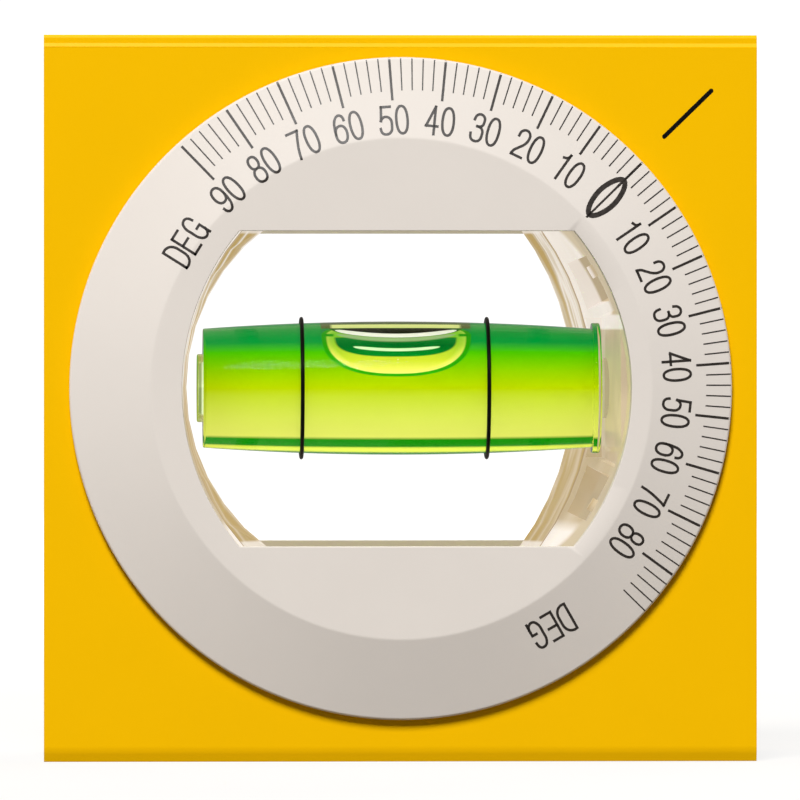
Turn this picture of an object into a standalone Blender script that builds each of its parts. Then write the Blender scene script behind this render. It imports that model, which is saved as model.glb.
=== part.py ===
"""A compact magnetic level: a short aluminium box section with two magnets in its base
and an angle dial on each side, joined through the section round a bubble vial.

X runs along the level, Y through its thickness with the front towards -Y, and Z up.
The origin is the middle of the measuring base.
"""

import math

import bmesh
import bpy
from mathutils import Matrix, Vector

MM = 0.001
QUARTER_TURN = math.pi / 2

# Vial: the marks lie about the dial's axis, and the flanged end is the longer one
VIAL_LEFT_REACH = 16.2 * MM
VIAL_RIGHT_REACH = 17.2 * MM
VIAL_RADIUS = 5.53 * MM
VIAL_WALL = 1.0 * MM
VIAL_END_WALL = 1.5 * MM
VIAL_BARREL_DROP = 0.55 * MM
FLANGE_RADIUS = 5.58 * MM
FLANGE_THICKNESS = 0.7 * MM
SPIGOT_RADIUS = 2.5 * MM
SPIGOT_LENGTH = 1.8 * MM
SPIGOT_CLEARANCE = 0.1 * MM
VIAL_PLUG_RADIUS = 2.85 * MM
VIAL_PLUG_SEAT = 2.0 * MM
VIAL_PLUG_HEAD = 0.5 * MM
VIAL_PLUG_CLEARANCE = 0.05 * MM
LIQUID_GAP = 0.1 * MM

# Bubble and the marks that it is read against
BUBBLE_LENGTH = 12.4 * MM
BUBBLE_WIDTH = 5.4 * MM
BUBBLE_DEPTH = 2.8 * MM
BUBBLE_TOP_GAP = 0.3 * MM
BUBBLE_TRAVEL = 6.0 * MM
CHANNEL_CLEARANCE = 0.3 * MM
CHANNEL_BREAKOUT = 0.5 * MM
MARK_REACH = 7.75 * MM
MARK_WIRE_RADIUS = 0.24 * MM
MARK_SEAT_GAP = 0.05 * MM

# Window: flat at the top and bottom, with a round side at each end of the vial
WINDOW_HALF_HEIGHT = 13.0 * MM
WINDOW_SIDE_RADIUS = 20.2 * MM
WINDOW_LEFT_MARGIN = 1.37 * MM
WINDOW_RIGHT_MARGIN = 1.5 * MM

# Vial carrier: its opening narrows from the front window to a lip at the back
CARRIER_WALL = 3.55 * MM
CARRIER_STEP = 0.15 * MM
LIP_DEPTH = 4.6 * MM
LIP_RIGHT_INSET = 2.2 * MM
LIP_LEFT_INSET = 0.3 * MM
LIP_RISE = 0.4 * MM
REAR_RIGHT_INSET = 3.67 * MM
REAR_LEFT_INSET = 0.63 * MM
REAR_RISE = 0.6 * MM
REAR_RIGHT_RADIUS = 22.5 * MM
REAR_LEFT_RADIUS = 16.8 * MM
CORE_WALL = 1.6 * MM
CORE_WEB = 2.0 * MM
CORE_PIN_WALL = 1.4 * MM

# Socket for the flanged end of the vial, and the pockets above and below it
SOCKET_GAP = 0.25 * MM
SOCKET_CLEARANCE = 0.3 * MM
SOCKET_SETBACK = 2.1 * MM
SOCKET_DRAFT = 0.84 * MM
SOCKET_FLARE = 0.65 * MM
SOCKET_SKIN = 2.0 * MM
SPIGOT_HOLE_RELIEF = 0.2 * MM
POCKET_ANGLE = math.radians(29)
POCKET_SKIN = 3.1 * MM
POCKET_WIDTH = 4.2 * MM
POCKET_SETBACK = 3.1 * MM
POCKET_DEPTH = 12.5 * MM
POCKET_PEG_ANGLE = math.radians(31)
POCKET_PEG_RADIUS = 0.55 * MM
POCKET_PEG_HEIGHT = 0.8 * MM
POCKET_PEG_SHARE = 0.3

# Dial: a turned plate with a conical scale ring, and half of the hub behind it
CARRIER_CLEARANCE = 0.2 * MM
HUB_WALL = 1.6 * MM
HUB_CLEARANCE = 0.15 * MM
HUB_SPLIT = 0.3 * MM
DIAL_OVERLAP = 2.9 * MM
DIAL_GAP = 0.3 * MM
RIM_THICKNESS = 0.9 * MM
RIM_EDGE_RADIUS = 0.3 * MM
SCALE_WIDTH = 6.7 * MM
SCALE_RISE = 1.5 * MM
DISC_THICKNESS = 1.8 * MM
CARRIER_END_GAP = 0.3 * MM

# Friction ring between each dial and the side of the body
FRICTION_WIRE_RADIUS = 0.4 * MM
FRICTION_GAP = 0.1 * MM
FRICTION_SIDE_GAP = 0.15 * MM
FRICTION_LAND = 0.15 * MM

# Pins that join the dials through the carrier
PIN_RADIUS = 1.0 * MM
PIN_CLEARANCE = 0.1 * MM
PIN_EDGE_DISTANCE = 2.2 * MM
PIN_SEAT = 0.9 * MM
PIN_END_GAP = 0.1 * MM
PIN_CHAMFER = 0.2 * MM
PIN_ANGLE = math.radians(50)

# Body: the margins round the dial give its length and height
END_MARGIN = 2.1 * MM
TOP_MARGIN = 1.85 * MM
BASE_MARGIN = 3.45 * MM
BODY_THICKNESS = 22.0 * MM
SIDE_WALL = 2.0 * MM
TOP_WALL = 2.4 * MM
BASE_WALL = 4.0 * MM
EDGE_RADIUS = 1.2 * MM
INNER_RADIUS = 1.5 * MM
MILLED_DEPTH = 0.25 * MM

# End plugs, flush in the ends of the section
PLUG_CLEARANCE = 0.15 * MM
PLUG_PLATE = 2.5 * MM
PLUG_WALL = 1.4 * MM
PLUG_HUB_GAP = 0.65 * MM

# Magnets in their steel pots, pressed into the base
MAGNET_CUP_RADIUS = 6.5 * MM
MAGNET_CUP_HEIGHT = 5.0 * MM
MAGNET_CUP_WALL = 1.2 * MM
MAGNET_SEAT_GAP = 0.1 * MM
MAGNET_GAP = 0.3 * MM
MAGNET_TOP_GAP = 0.2 * MM
MAGNET_RECESS = 0.1 * MM
MAGNET_PLUG_GAP = 1.45 * MM
CUP_CHAMFER = 0.3 * MM

# Modelling values
OVERRUN = 1.0 * MM
MERGE_DISTANCE = 0.01 * MM
SMOOTH_ANGLE = math.radians(32)
DIAL_SEGMENTS = 72
VIAL_SEGMENTS = 36
MAGNET_SEGMENTS = 32
PIN_SEGMENTS = 16
WIRE_SEGMENTS = 6
CORNER_STEPS = 4
SIDE_STEPS = 12
BARREL_STEPS = 6

# Places that follow from the sizes, along the vial
SOCKET_FLOOR = VIAL_RIGHT_REACH + SOCKET_GAP
WINDOW_LEFT = VIAL_LEFT_REACH + VIAL_PLUG_HEAD + WINDOW_LEFT_MARGIN
WINDOW_RIGHT = SOCKET_FLOOR + WINDOW_RIGHT_MARGIN

# Radii that follow, from the carrier out to the dial's rim
CARRIER_RADIUS = WINDOW_RIGHT + CARRIER_WALL
HUB_INNER_RADIUS = CARRIER_RADIUS + CARRIER_CLEARANCE
HUB_RADIUS = HUB_INNER_RADIUS + HUB_WALL
BORE_RADIUS = HUB_RADIUS + HUB_CLEARANCE
DIAL_RADIUS = BORE_RADIUS + DIAL_OVERLAP
SCALE_INNER_RADIUS = DIAL_RADIUS - SCALE_WIDTH
FRICTION_RING_RADIUS = BORE_RADIUS + FRICTION_LAND + FRICTION_SIDE_GAP + FRICTION_WIRE_RADIUS
PIN_CIRCLE_RADIUS = CARRIER_RADIUS - PIN_EDGE_DISTANCE

# Depths that follow, from the middle of the body out to the dial's face
BODY_SIDE = BODY_THICKNESS / 2
DIAL_UNDERSIDE = BODY_SIDE + DIAL_GAP
RIM_TOP = DIAL_UNDERSIDE + RIM_THICKNESS
DIAL_FACE = RIM_TOP + SCALE_RISE
DISC_BACK = DIAL_FACE - DISC_THICKNESS
CARRIER_DEPTH = DISC_BACK - CARRIER_END_GAP
FRICTION_HEIGHT = BODY_SIDE + FRICTION_GAP + FRICTION_WIRE_RADIUS
FRICTION_GROOVE_TOP = FRICTION_HEIGHT + FRICTION_WIRE_RADIUS + FRICTION_GAP

# The body's own sizes that follow
BODY_LENGTH = 2 * (DIAL_RADIUS + END_MARGIN)
BODY_HEIGHT = BASE_MARGIN + 2 * DIAL_RADIUS + TOP_MARGIN
DIAL_HEIGHT = BASE_MARGIN + DIAL_RADIUS
PLUG_DEPTH = BODY_LENGTH / 2 - HUB_RADIUS - PLUG_HUB_GAP
MAGNET_REACH = BODY_LENGTH / 2 - PLUG_DEPTH - MAGNET_PLUG_GAP - MAGNET_CUP_RADIUS

# Turns that stand a shape modelled along local Z on its axis in the level
FACE_FRONT = (QUARTER_TURN, 0, 0)
FACE_REAR = (-QUARTER_TURN, 0, 0)
ALONG_VIAL = (0, QUARTER_TURN, 0)
ALONG_BODY = (QUARTER_TURN, 0, QUARTER_TURN)

FINISHES = {
    "yellow_coating": dict(colour=(0.92, 0.50, 0.004), roughness=0.38),
    "black_plastic": dict(colour=(0.02, 0.02, 0.022), roughness=0.5),
    "plated_steel": dict(colour=(0.62, 0.63, 0.65), roughness=0.3, metallic=1),
    "magnet": dict(colour=(0.16, 0.16, 0.17), roughness=0.45, metallic=1),
    "dial_plastic": dict(colour=(0.79, 0.75, 0.70), roughness=0.45),
    "carrier_plastic": dict(colour=(0.72, 0.66, 0.54), roughness=0.35),
    "vial_acrylic": dict(colour=(0.72, 0.93, 0.30), roughness=0.05, alpha=0.4),
    "vial_liquid": dict(colour=(0.45, 0.80, 0.02), roughness=0.05),
    "air": dict(colour=(0.90, 1.0, 0.80), roughness=0.02, alpha=0.4),
    "rubber": dict(colour=(0.03, 0.03, 0.03), roughness=0.7),
}


def clear_scene():
    """Remove every object that the file opened with."""
    for obj in list(bpy.data.objects):
        bpy.data.objects.remove(obj, do_unlink=True)


def new_collection(name):
    """Add a collection to the scene."""
    collection = bpy.data.collections.new(name)
    bpy.context.scene.collection.children.link(collection)
    return collection


def make_material(name, colour, roughness, metallic=0, alpha=1):
    """Make a Principled material from a linear colour."""
    material = bpy.data.materials.new(name)
    material.use_nodes = True
    shader = material.node_tree.nodes["Principled BSDF"]
    shader.inputs["Base Color"].default_value = (*colour, 1)
    shader.inputs["Roughness"].default_value = roughness
    shader.inputs["Metallic"].default_value = metallic
    shader.inputs["Alpha"].default_value = alpha
    return material


def arc(centre, radius, start, end, steps):
    """Points of an arc about centre, from the start angle to the end angle."""
    angles = [start + (end - start) * step / steps for step in range(steps + 1)]
    return [(centre[0] + radius * math.cos(a), centre[1] + radius * math.sin(a)) for a in angles]


def rounded_rectangle(low, high, radius):
    """Outline of a rectangle between two corners, with round corners."""
    left, bottom = low[0] + radius, low[1] + radius
    right, top = high[0] - radius, high[1] - radius
    corners = [(right, top), (left, top), (left, bottom), (right, bottom)]
    points = []
    for turn, centre in enumerate(corners):
        start = turn * QUARTER_TURN
        points += arc(centre, radius, start, start + QUARTER_TURN, CORNER_STEPS)
    return points


def window_outline(left, right, half_height, left_radius, right_radius):
    """Outline of a window with flat top and bottom edges and two round sides."""
    points = []
    sides = [(right - right_radius, right_radius, 0), (left_radius - left, left_radius, math.pi)]
    for centre, radius, middle in sides:
        spread = math.asin(half_height / radius)
        points += arc((centre, 0), radius, middle - spread, middle + spread, SIDE_STEPS)
    return points


def barrel_radius(place):
    """Outer radius of the vial at a place along it, measured from the dial's axis."""
    return VIAL_RADIUS - VIAL_BARREL_DROP * (place / VIAL_LEFT_REACH) ** 2


def barrel_profile(start, end, inset):
    """Profile points along the barrel from start to end, inset from its outer surface."""
    places = [start + (end - start) * step / BARREL_STEPS for step in range(BARREL_STEPS + 1)]
    return [(barrel_radius(place) - inset, place) for place in places]


def add_object(name, mesh, collection, finish=None):
    """Put a mesh in the scene as an object, with its material."""
    obj = bpy.data.objects.new(name, mesh)
    collection.objects.link(obj)
    if finish:
        mesh.materials.append(bpy.data.materials[finish])
    return obj


def place(obj, parent, location=(0, 0, 0), rotation=(0, 0, 0)):
    """Parent an object and set where it stands under its parent."""
    obj.parent = parent
    obj.location = location
    obj.rotation_euler = rotation
    return obj


def prism(name, outlines, low, high, collection, finish=None):
    """Straight prism along local Z, from a flat outline and the outlines of its holes."""
    curve = bpy.data.curves.new(name, "CURVE")
    curve.dimensions = "2D"
    curve.fill_mode = "BOTH"
    curve.extrude = (high - low) / 2
    for outline in outlines:
        spline = curve.splines.new("POLY")
        spline.points.add(len(outline) - 1)
        spline.use_cyclic_u = True
        for point, (x, y) in zip(spline.points, outline):
            point.co = (x, y, 0, 1)
    drawn = bpy.data.objects.new(name, curve)
    collection.objects.link(drawn)
    evaluated = drawn.evaluated_get(bpy.context.evaluated_depsgraph_get())
    mesh = bpy.data.meshes.new_from_object(evaluated)
    bpy.data.objects.remove(drawn)
    bpy.data.curves.remove(curve)
    mesh.transform(Matrix.Translation((0, 0, (high + low) / 2)))
    shape = bmesh.new()
    shape.from_mesh(mesh)
    bmesh.ops.remove_doubles(shape, verts=shape.verts, dist=MERGE_DISTANCE)
    shape.to_mesh(mesh)
    shape.free()
    mesh.name = name
    return add_object(name, mesh, collection, finish)


def turned(name, profile, segments, collection, finish=None, closed=False):
    """Turned shape about local Z, from profile points given as radius and height."""
    mesh = bpy.data.meshes.new(name)
    edges = [(index, index + 1) for index in range(len(profile) - 1)]
    if closed:
        edges.append((len(profile) - 1, 0))
    mesh.from_pydata([(radius, 0, height) for radius, height in profile], edges, [])
    obj = add_object(name, mesh, collection, finish)
    screw = obj.modifiers.new("turn", "SCREW")
    screw.axis = "Z"
    screw.angle = 2 * math.pi
    screw.steps = segments
    screw.render_steps = segments
    screw.use_merge_vertices = True
    screw.merge_threshold = MERGE_DISTANCE
    return obj


def bmesh_object(name, shape, collection, finish=None):
    """Make an object from a bmesh and free the bmesh."""
    mesh = bpy.data.meshes.new(name)
    shape.to_mesh(mesh)
    shape.free()
    return add_object(name, mesh, collection, finish)


def add_cylinder(shape, radius, low, high, segments, matrix=None):
    """Add a capped cylinder along local Z to a bmesh, between two heights."""
    middle = Matrix.Translation((0, 0, (low + high) / 2))
    turn = Matrix.Rotation(math.pi / segments, 4, "Z")
    bmesh.ops.create_cone(
        shape, cap_ends=True, segments=segments, radius1=radius, radius2=radius,
        depth=high - low, matrix=(matrix or Matrix.Identity(4)) @ middle @ turn)


def add_box(shape, low, high, matrix=None):
    """Add a box to a bmesh, between two opposite corners, and return its corners."""
    size = Vector(high) - Vector(low)
    middle = (Vector(high) + Vector(low)) / 2
    stretch = Matrix.Diagonal((*size, 1))
    made = bmesh.ops.create_cube(
        shape, size=1, matrix=(matrix or Matrix.Identity(4)) @ Matrix.Translation(middle) @ stretch)
    return made["verts"]


def cut(obj, cutter, operation="DIFFERENCE"):
    """Cut an object with a cutter, or join a shape to it."""
    cutter.hide_render = True
    cutter.display_type = "WIRE"
    boolean = obj.modifiers.new(cutter.name, "BOOLEAN")
    boolean.operation = operation
    boolean.solver = "EXACT"
    boolean.object = cutter


def settle(obj):
    """Apply an object's modifiers and shade its round faces smooth."""
    bpy.context.view_layer.update()
    evaluated = obj.evaluated_get(bpy.context.evaluated_depsgraph_get())
    mesh = bpy.data.meshes.new_from_object(evaluated)
    obj.modifiers.clear()
    obj.data = mesh
    mesh.name = obj.name
    mesh.shade_smooth()
    mesh.set_sharp_from_angle(angle=SMOOTH_ANGLE)
    return obj


def pin_places():
    """Centres of the four pins on their circle, in the dial's own plane."""
    angles = [PIN_ANGLE, math.pi - PIN_ANGLE, math.pi + PIN_ANGLE, -PIN_ANGLE]
    return [PIN_CIRCLE_RADIUS * Vector((math.cos(a), math.sin(a), 0)) for a in angles]


def pin_holes(name, low, high, collection):
    """Cutter for the four pin holes between two heights along the dial's axis."""
    shape = bmesh.new()
    for centre in pin_places():
        add_cylinder(shape, PIN_RADIUS + PIN_CLEARANCE, low, high, PIN_SEGMENTS,
                     Matrix.Translation(centre))
    return bmesh_object(name, shape, collection)


def make_box_profile(parts, cutters):
    """Drawn box section with a milled base, bored for the hub and for the magnet pots."""
    foot = EDGE_RADIUS - MILLED_DEPTH
    spread = math.asin(foot / EDGE_RADIUS)
    side = BODY_SIDE - EDGE_RADIUS
    head = BODY_HEIGHT - EDGE_RADIUS
    outer = arc((side, foot), EDGE_RADIUS, -spread, 0, CORNER_STEPS)
    outer += arc((side, head), EDGE_RADIUS, 0, QUARTER_TURN, CORNER_STEPS)
    outer += arc((-side, head), EDGE_RADIUS, QUARTER_TURN, math.pi, CORNER_STEPS)
    outer += arc((-side, foot), EDGE_RADIUS, math.pi, math.pi + spread, CORNER_STEPS)
    inner = rounded_rectangle(*inner_corners(0), INNER_RADIUS)
    body = prism("box_profile", [outer, inner], -BODY_LENGTH / 2, BODY_LENGTH / 2,
                 parts, "yellow_coating")
    body.rotation_euler = ALONG_BODY

    shape = bmesh.new()
    add_cylinder(shape, BORE_RADIUS, -BODY_SIDE - OVERRUN, BODY_SIDE + OVERRUN, DIAL_SEGMENTS)
    bore = bmesh_object("hub_bore", shape, cutters)
    bore.location = (0, 0, DIAL_HEIGHT)
    bore.rotation_euler = FACE_FRONT
    cut(body, bore)

    shape = bmesh.new()
    for side_sign in (-1, 1):
        seat = Matrix.Translation((side_sign * MAGNET_REACH, 0, 0))
        add_cylinder(shape, MAGNET_CUP_RADIUS + MAGNET_SEAT_GAP, -OVERRUN, BASE_WALL + OVERRUN,
                     MAGNET_SEGMENTS, seat)
    cut(body, bmesh_object("magnet_seats", shape, cutters))
    return settle(body)


def inner_corners(clearance):
    """Opposite corners of the section's inner space, less a clearance all round."""
    half_width = BODY_SIDE - SIDE_WALL - clearance
    low = (-half_width, BASE_WALL + clearance)
    high = (half_width, BODY_HEIGHT - TOP_WALL - clearance)
    return low, high


def make_end_plug(name, direction, parts, cutters):
    """Cup-shaped plug, its plate flush with the end of the section and its skirt inside."""
    outer_end = direction * BODY_LENGTH / 2
    inner_end = outer_end - direction * PLUG_DEPTH
    plate = outer_end - direction * PLUG_PLATE
    outline = rounded_rectangle(*inner_corners(PLUG_CLEARANCE), INNER_RADIUS)
    hollow = rounded_rectangle(*inner_corners(PLUG_CLEARANCE + PLUG_WALL), INNER_RADIUS / 2)
    plug = prism(name, [outline], *sorted((outer_end, inner_end)), parts, "black_plastic")
    past = inner_end - direction * OVERRUN
    core = prism(name + "_core", [hollow], *sorted((plate, past)), cutters)
    for obj in (plug, core):
        obj.rotation_euler = ALONG_BODY
    cut(plug, core)
    return settle(plug)


def make_magnet(side_name, direction, parts):
    """Disc magnet in a steel pot whose open end lies just inside the measuring base."""
    radius = MAGNET_CUP_RADIUS
    inside = radius - MAGNET_CUP_WALL
    ceiling = MAGNET_CUP_HEIGHT - MAGNET_CUP_WALL
    cup_profile = [(0, MAGNET_CUP_HEIGHT), (radius - CUP_CHAMFER, MAGNET_CUP_HEIGHT),
                   (radius, MAGNET_CUP_HEIGHT - CUP_CHAMFER), (radius, 0), (inside, 0),
                   (inside, ceiling), (0, ceiling)]
    disc_radius = inside - MAGNET_GAP
    disc_height = ceiling - MAGNET_TOP_GAP
    disc_profile = [(0, disc_height), (disc_radius, disc_height), (disc_radius, 0), (0, 0)]
    location = (direction * MAGNET_REACH, 0, MAGNET_RECESS)
    for name, profile, finish in (("magnet_cup", cup_profile, "plated_steel"),
                                  ("magnet", disc_profile, "magnet")):
        piece = turned(f"{side_name}_{name}", profile, MAGNET_SEGMENTS, parts, finish)
        piece.location = location
        settle(piece)


def dial_profile():
    """Half section of a dial: face, conical scale, rim, ring groove, hub and disc back."""
    rim = arc((DIAL_RADIUS - RIM_EDGE_RADIUS, RIM_TOP - RIM_EDGE_RADIUS), RIM_EDGE_RADIUS,
              QUARTER_TURN, 0, CORNER_STEPS)
    half_groove = FRICTION_WIRE_RADIUS + FRICTION_SIDE_GAP
    groove_outer = FRICTION_RING_RADIUS + half_groove
    groove_inner = FRICTION_RING_RADIUS - half_groove
    return [
        (0, DIAL_FACE), (SCALE_INNER_RADIUS, DIAL_FACE), *rim, (DIAL_RADIUS, DIAL_UNDERSIDE),
        (groove_outer, DIAL_UNDERSIDE), (groove_outer, FRICTION_GROOVE_TOP),
        (groove_inner, FRICTION_GROOVE_TOP), (groove_inner, DIAL_UNDERSIDE),
        (HUB_RADIUS, DIAL_UNDERSIDE), (HUB_RADIUS, HUB_SPLIT / 2),
        (HUB_INNER_RADIUS, HUB_SPLIT / 2), (HUB_INNER_RADIUS, DISC_BACK), (0, DISC_BACK),
    ]


def make_dial(name, rotation, dial_axis, parts, cutters):
    """Dial with its window, and four blind holes in its back for the pins."""
    dial = turned(name, dial_profile(), DIAL_SEGMENTS, parts, "dial_plastic")
    outline = window_outline(WINDOW_LEFT, WINDOW_RIGHT, WINDOW_HALF_HEIGHT,
                             WINDOW_SIDE_RADIUS, WINDOW_SIDE_RADIUS)
    window = prism(name + "_window", [outline], DISC_BACK - OVERRUN, DIAL_FACE + OVERRUN, cutters)
    holes = pin_holes(name + "_pin_holes", DISC_BACK - OVERRUN,
                      DISC_BACK + PIN_SEAT + PIN_END_GAP, cutters)
    for obj in (dial, window, holes):
        place(obj, dial_axis, rotation=rotation)
    cut(dial, window)
    cut(dial, holes)
    return settle(dial)


def carrier_sections():
    """Outlines of the carrier's opening with their depths, from the front to the back."""
    front = window_outline(WINDOW_LEFT + CARRIER_STEP, WINDOW_RIGHT + CARRIER_STEP,
                           WINDOW_HALF_HEIGHT + CARRIER_STEP,
                           WINDOW_SIDE_RADIUS, WINDOW_SIDE_RADIUS)
    lip = window_outline(WINDOW_LEFT - LIP_LEFT_INSET, WINDOW_RIGHT - LIP_RIGHT_INSET,
                         WINDOW_HALF_HEIGHT + LIP_RISE, WINDOW_SIDE_RADIUS, REAR_RIGHT_RADIUS)
    rear = window_outline(WINDOW_LEFT - REAR_LEFT_INSET, WINDOW_RIGHT - REAR_RIGHT_INSET,
                          WINDOW_HALF_HEIGHT + REAR_RISE, REAR_LEFT_RADIUS, REAR_RIGHT_RADIUS)
    return [(front, CARRIER_DEPTH + OVERRUN), (front, CARRIER_DEPTH),
            (lip, LIP_DEPTH - CARRIER_DEPTH), (rear, -CARRIER_DEPTH),
            (rear, -CARRIER_DEPTH - OVERRUN)]


def opening_cutter(collection):
    """Cutter for the carrier's opening, lofted through its outlines."""
    shape = bmesh.new()
    rings = []
    for outline, depth in carrier_sections():
        corners = [shape.verts.new((x, y, depth)) for x, y in outline]
        rings.append([shape.edges.new(pair) for pair in zip(corners, corners[1:] + corners[:1])])
    for upper, lower in zip(rings, rings[1:]):
        bmesh.ops.bridge_loops(shape, edges=upper + lower)
    for ring in (rings[0], rings[-1]):
        bmesh.ops.contextual_create(shape, geom=ring)
    bmesh.ops.recalc_face_normals(shape, faces=shape.faces)
    return bmesh_object("carrier_opening", shape, collection)


def socket_shape(name, near, far, collection):
    """Tapered box of the vial's socket, from near to far along X, drafted to the front."""
    half_height = FLANGE_RADIUS + SOCKET_CLEARANCE
    front = CARRIER_DEPTH - SOCKET_SETBACK
    shape = bmesh.new()
    add_box(shape, (near, -half_height, 0), (far, half_height, front))
    add_box(shape, (near, -half_height, -half_height), (far, half_height, 0))
    bmesh.ops.remove_doubles(shape, verts=shape.verts, dist=MERGE_DISTANCE)
    middle = [face for face in shape.faces if abs(face.calc_center_median().z) < MERGE_DISTANCE]
    bmesh.ops.delete(shape, geom=middle, context="FACES_ONLY")
    for vert in shape.verts:
        if vert.co.z > front / 2:
            vert.co.y += math.copysign(SOCKET_FLARE, vert.co.y)
            if abs(vert.co.x - SOCKET_FLOOR) < MERGE_DISTANCE:
                vert.co.x += SOCKET_DRAFT
    bmesh.ops.recalc_face_normals(shape, faces=shape.faces)
    return bmesh_object(name, shape, collection)


def make_vial_carrier(dial_axis, parts, cutters):
    """Moulded ring that holds the vial, with a socket, two pockets and cored segments."""
    carrier = turned("vial_carrier", [(0, CARRIER_DEPTH), (CARRIER_RADIUS, CARRIER_DEPTH),
                                      (CARRIER_RADIUS, -CARRIER_DEPTH), (0, -CARRIER_DEPTH)],
                     DIAL_SEGMENTS, parts, "carrier_plastic")
    inner_end = WINDOW_RIGHT - REAR_RIGHT_INSET - OVERRUN
    block = socket_shape("socket_block", SOCKET_FLOOR, CARRIER_RADIUS - SOCKET_SKIN, cutters)
    recess = socket_shape("socket_recess", inner_end, SOCKET_FLOOR, cutters)

    shape = bmesh.new()
    floor = CARRIER_RADIUS - POCKET_SKIN
    front = CARRIER_DEPTH - POCKET_SETBACK
    for angle in (POCKET_ANGLE, -POCKET_ANGLE):
        add_box(shape, (inner_end, -POCKET_WIDTH / 2, front - POCKET_DEPTH),
                (floor, POCKET_WIDTH / 2, front), Matrix.Rotation(angle, 4, "Z"))
    pockets = bmesh_object("pockets", shape, cutters)

    shape = bmesh.new()
    for angle in (POCKET_PEG_ANGLE, -POCKET_PEG_ANGLE):
        peg = (Matrix.Rotation(angle, 4, "Z")
               @ Matrix.Translation((0, 0, front - POCKET_PEG_SHARE * POCKET_DEPTH))
               @ Matrix.Rotation(QUARTER_TURN, 4, "Y"))
        add_cylinder(shape, POCKET_PEG_RADIUS, floor - POCKET_PEG_HEIGHT, floor + OVERRUN,
                     PIN_SEGMENTS, peg)
    pegs = bmesh_object("pocket_pegs", shape, cutters)

    shape = bmesh.new()
    hole_end = SOCKET_FLOOR + SPIGOT_LENGTH + SPIGOT_HOLE_RELIEF
    add_cylinder(shape, SPIGOT_RADIUS + SPIGOT_CLEARANCE, inner_end, hole_end, PIN_SEGMENTS,
                 Matrix.Rotation(QUARTER_TURN, 4, "Y"))
    spigot_hole = bmesh_object("spigot_hole", shape, cutters)

    holes = pin_holes("carrier_pin_holes", -CARRIER_DEPTH - OVERRUN,
                      CARRIER_DEPTH + OVERRUN, cutters)
    steps = [(opening_cutter(cutters), "DIFFERENCE"), (block, "UNION"), (recess, "DIFFERENCE"),
             (pockets, "DIFFERENCE"), (pegs, "UNION"), (spigot_hole, "DIFFERENCE"),
             (holes, "DIFFERENCE")]
    steps += [(core, "DIFFERENCE") for core in core_cutters(cutters)]
    for cutter, operation in steps:
        place(cutter, dial_axis, rotation=FACE_FRONT)
        cut(carrier, cutter, operation)
    place(carrier, dial_axis, rotation=FACE_FRONT)
    return settle(carrier)


def core_cutters(cutters):
    """Cutters that core the carrier's top and bottom segments from both faces."""
    radius = CARRIER_RADIUS - CORE_WALL
    flat = WINDOW_HALF_HEIGHT + REAR_RISE + CORE_WALL
    half_width = pin_places()[0].x - PIN_RADIUS - PIN_CLEARANCE - CORE_PIN_WALL
    start = math.acos(half_width / radius)
    made = []
    for place_name, sign in (("top", 1), ("bottom", -1)):
        outline = [(half_width, sign * flat)]
        outline += arc((0, 0), radius, sign * start, sign * (math.pi - start), SIDE_STEPS)
        outline += [(-half_width, sign * flat)]
        for face_name, low, high in (
                ("front", CORE_WEB / 2, CARRIER_DEPTH + OVERRUN),
                ("rear", -CARRIER_DEPTH - OVERRUN, -CORE_WEB / 2)):
            name = f"{place_name}_{face_name}_core"
            made.append(prism(name, [outline[::sign]], low, high, cutters))
    return made


def make_vial(dial_axis, parts):
    """Barrel-shaped vial, closed at its flanged end, and the plug in its other end."""
    right = VIAL_RIGHT_REACH
    left = -VIAL_LEFT_REACH
    mouth = VIAL_PLUG_RADIUS + VIAL_PLUG_CLEARANCE
    seat = left + VIAL_PLUG_SEAT
    ceiling = right - FLANGE_THICKNESS - VIAL_END_WALL
    profile = [(0, right + SPIGOT_LENGTH), (SPIGOT_RADIUS, right + SPIGOT_LENGTH),
               (SPIGOT_RADIUS, right), (FLANGE_RADIUS, right),
               (FLANGE_RADIUS, right - FLANGE_THICKNESS),
               *barrel_profile(right - FLANGE_THICKNESS, left, 0),
               (mouth, left), (mouth, seat), *barrel_profile(seat, ceiling, VIAL_WALL),
               (0, ceiling)]
    vial = turned("vial_body", profile, VIAL_SEGMENTS, parts, "vial_acrylic")
    settle(place(vial, dial_axis, rotation=ALONG_VIAL))

    radius = VIAL_PLUG_RADIUS
    inner = seat - VIAL_PLUG_CLEARANCE
    outer = left - VIAL_PLUG_HEAD
    profile = [(0, inner), (radius, inner), (radius, outer + PIN_CHAMFER),
               (radius - PIN_CHAMFER, outer), (0, outer)]
    plug = turned("vial_end_plug", profile, VIAL_SEGMENTS, parts, "vial_acrylic")
    settle(place(plug, dial_axis, rotation=ALONG_VIAL))


def stretched_ellipsoid(name, semi_axes, stretch, collection, finish=None):
    """Ellipsoid about local X whose halves are drawn apart by stretch on each side."""
    shape = bmesh.new()
    bmesh.ops.create_uvsphere(
        shape, u_segments=VIAL_SEGMENTS // 2, v_segments=VIAL_SEGMENTS // 2, radius=1,
        matrix=Matrix.Diagonal((*semi_axes, 1)) @ Matrix.Rotation(QUARTER_TURN, 4, "Y"))
    for vert in shape.verts:
        if abs(vert.co.x) > MERGE_DISTANCE:
            vert.co.x += math.copysign(stretch, vert.co.x)
    return bmesh_object(name, shape, collection, finish)


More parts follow.
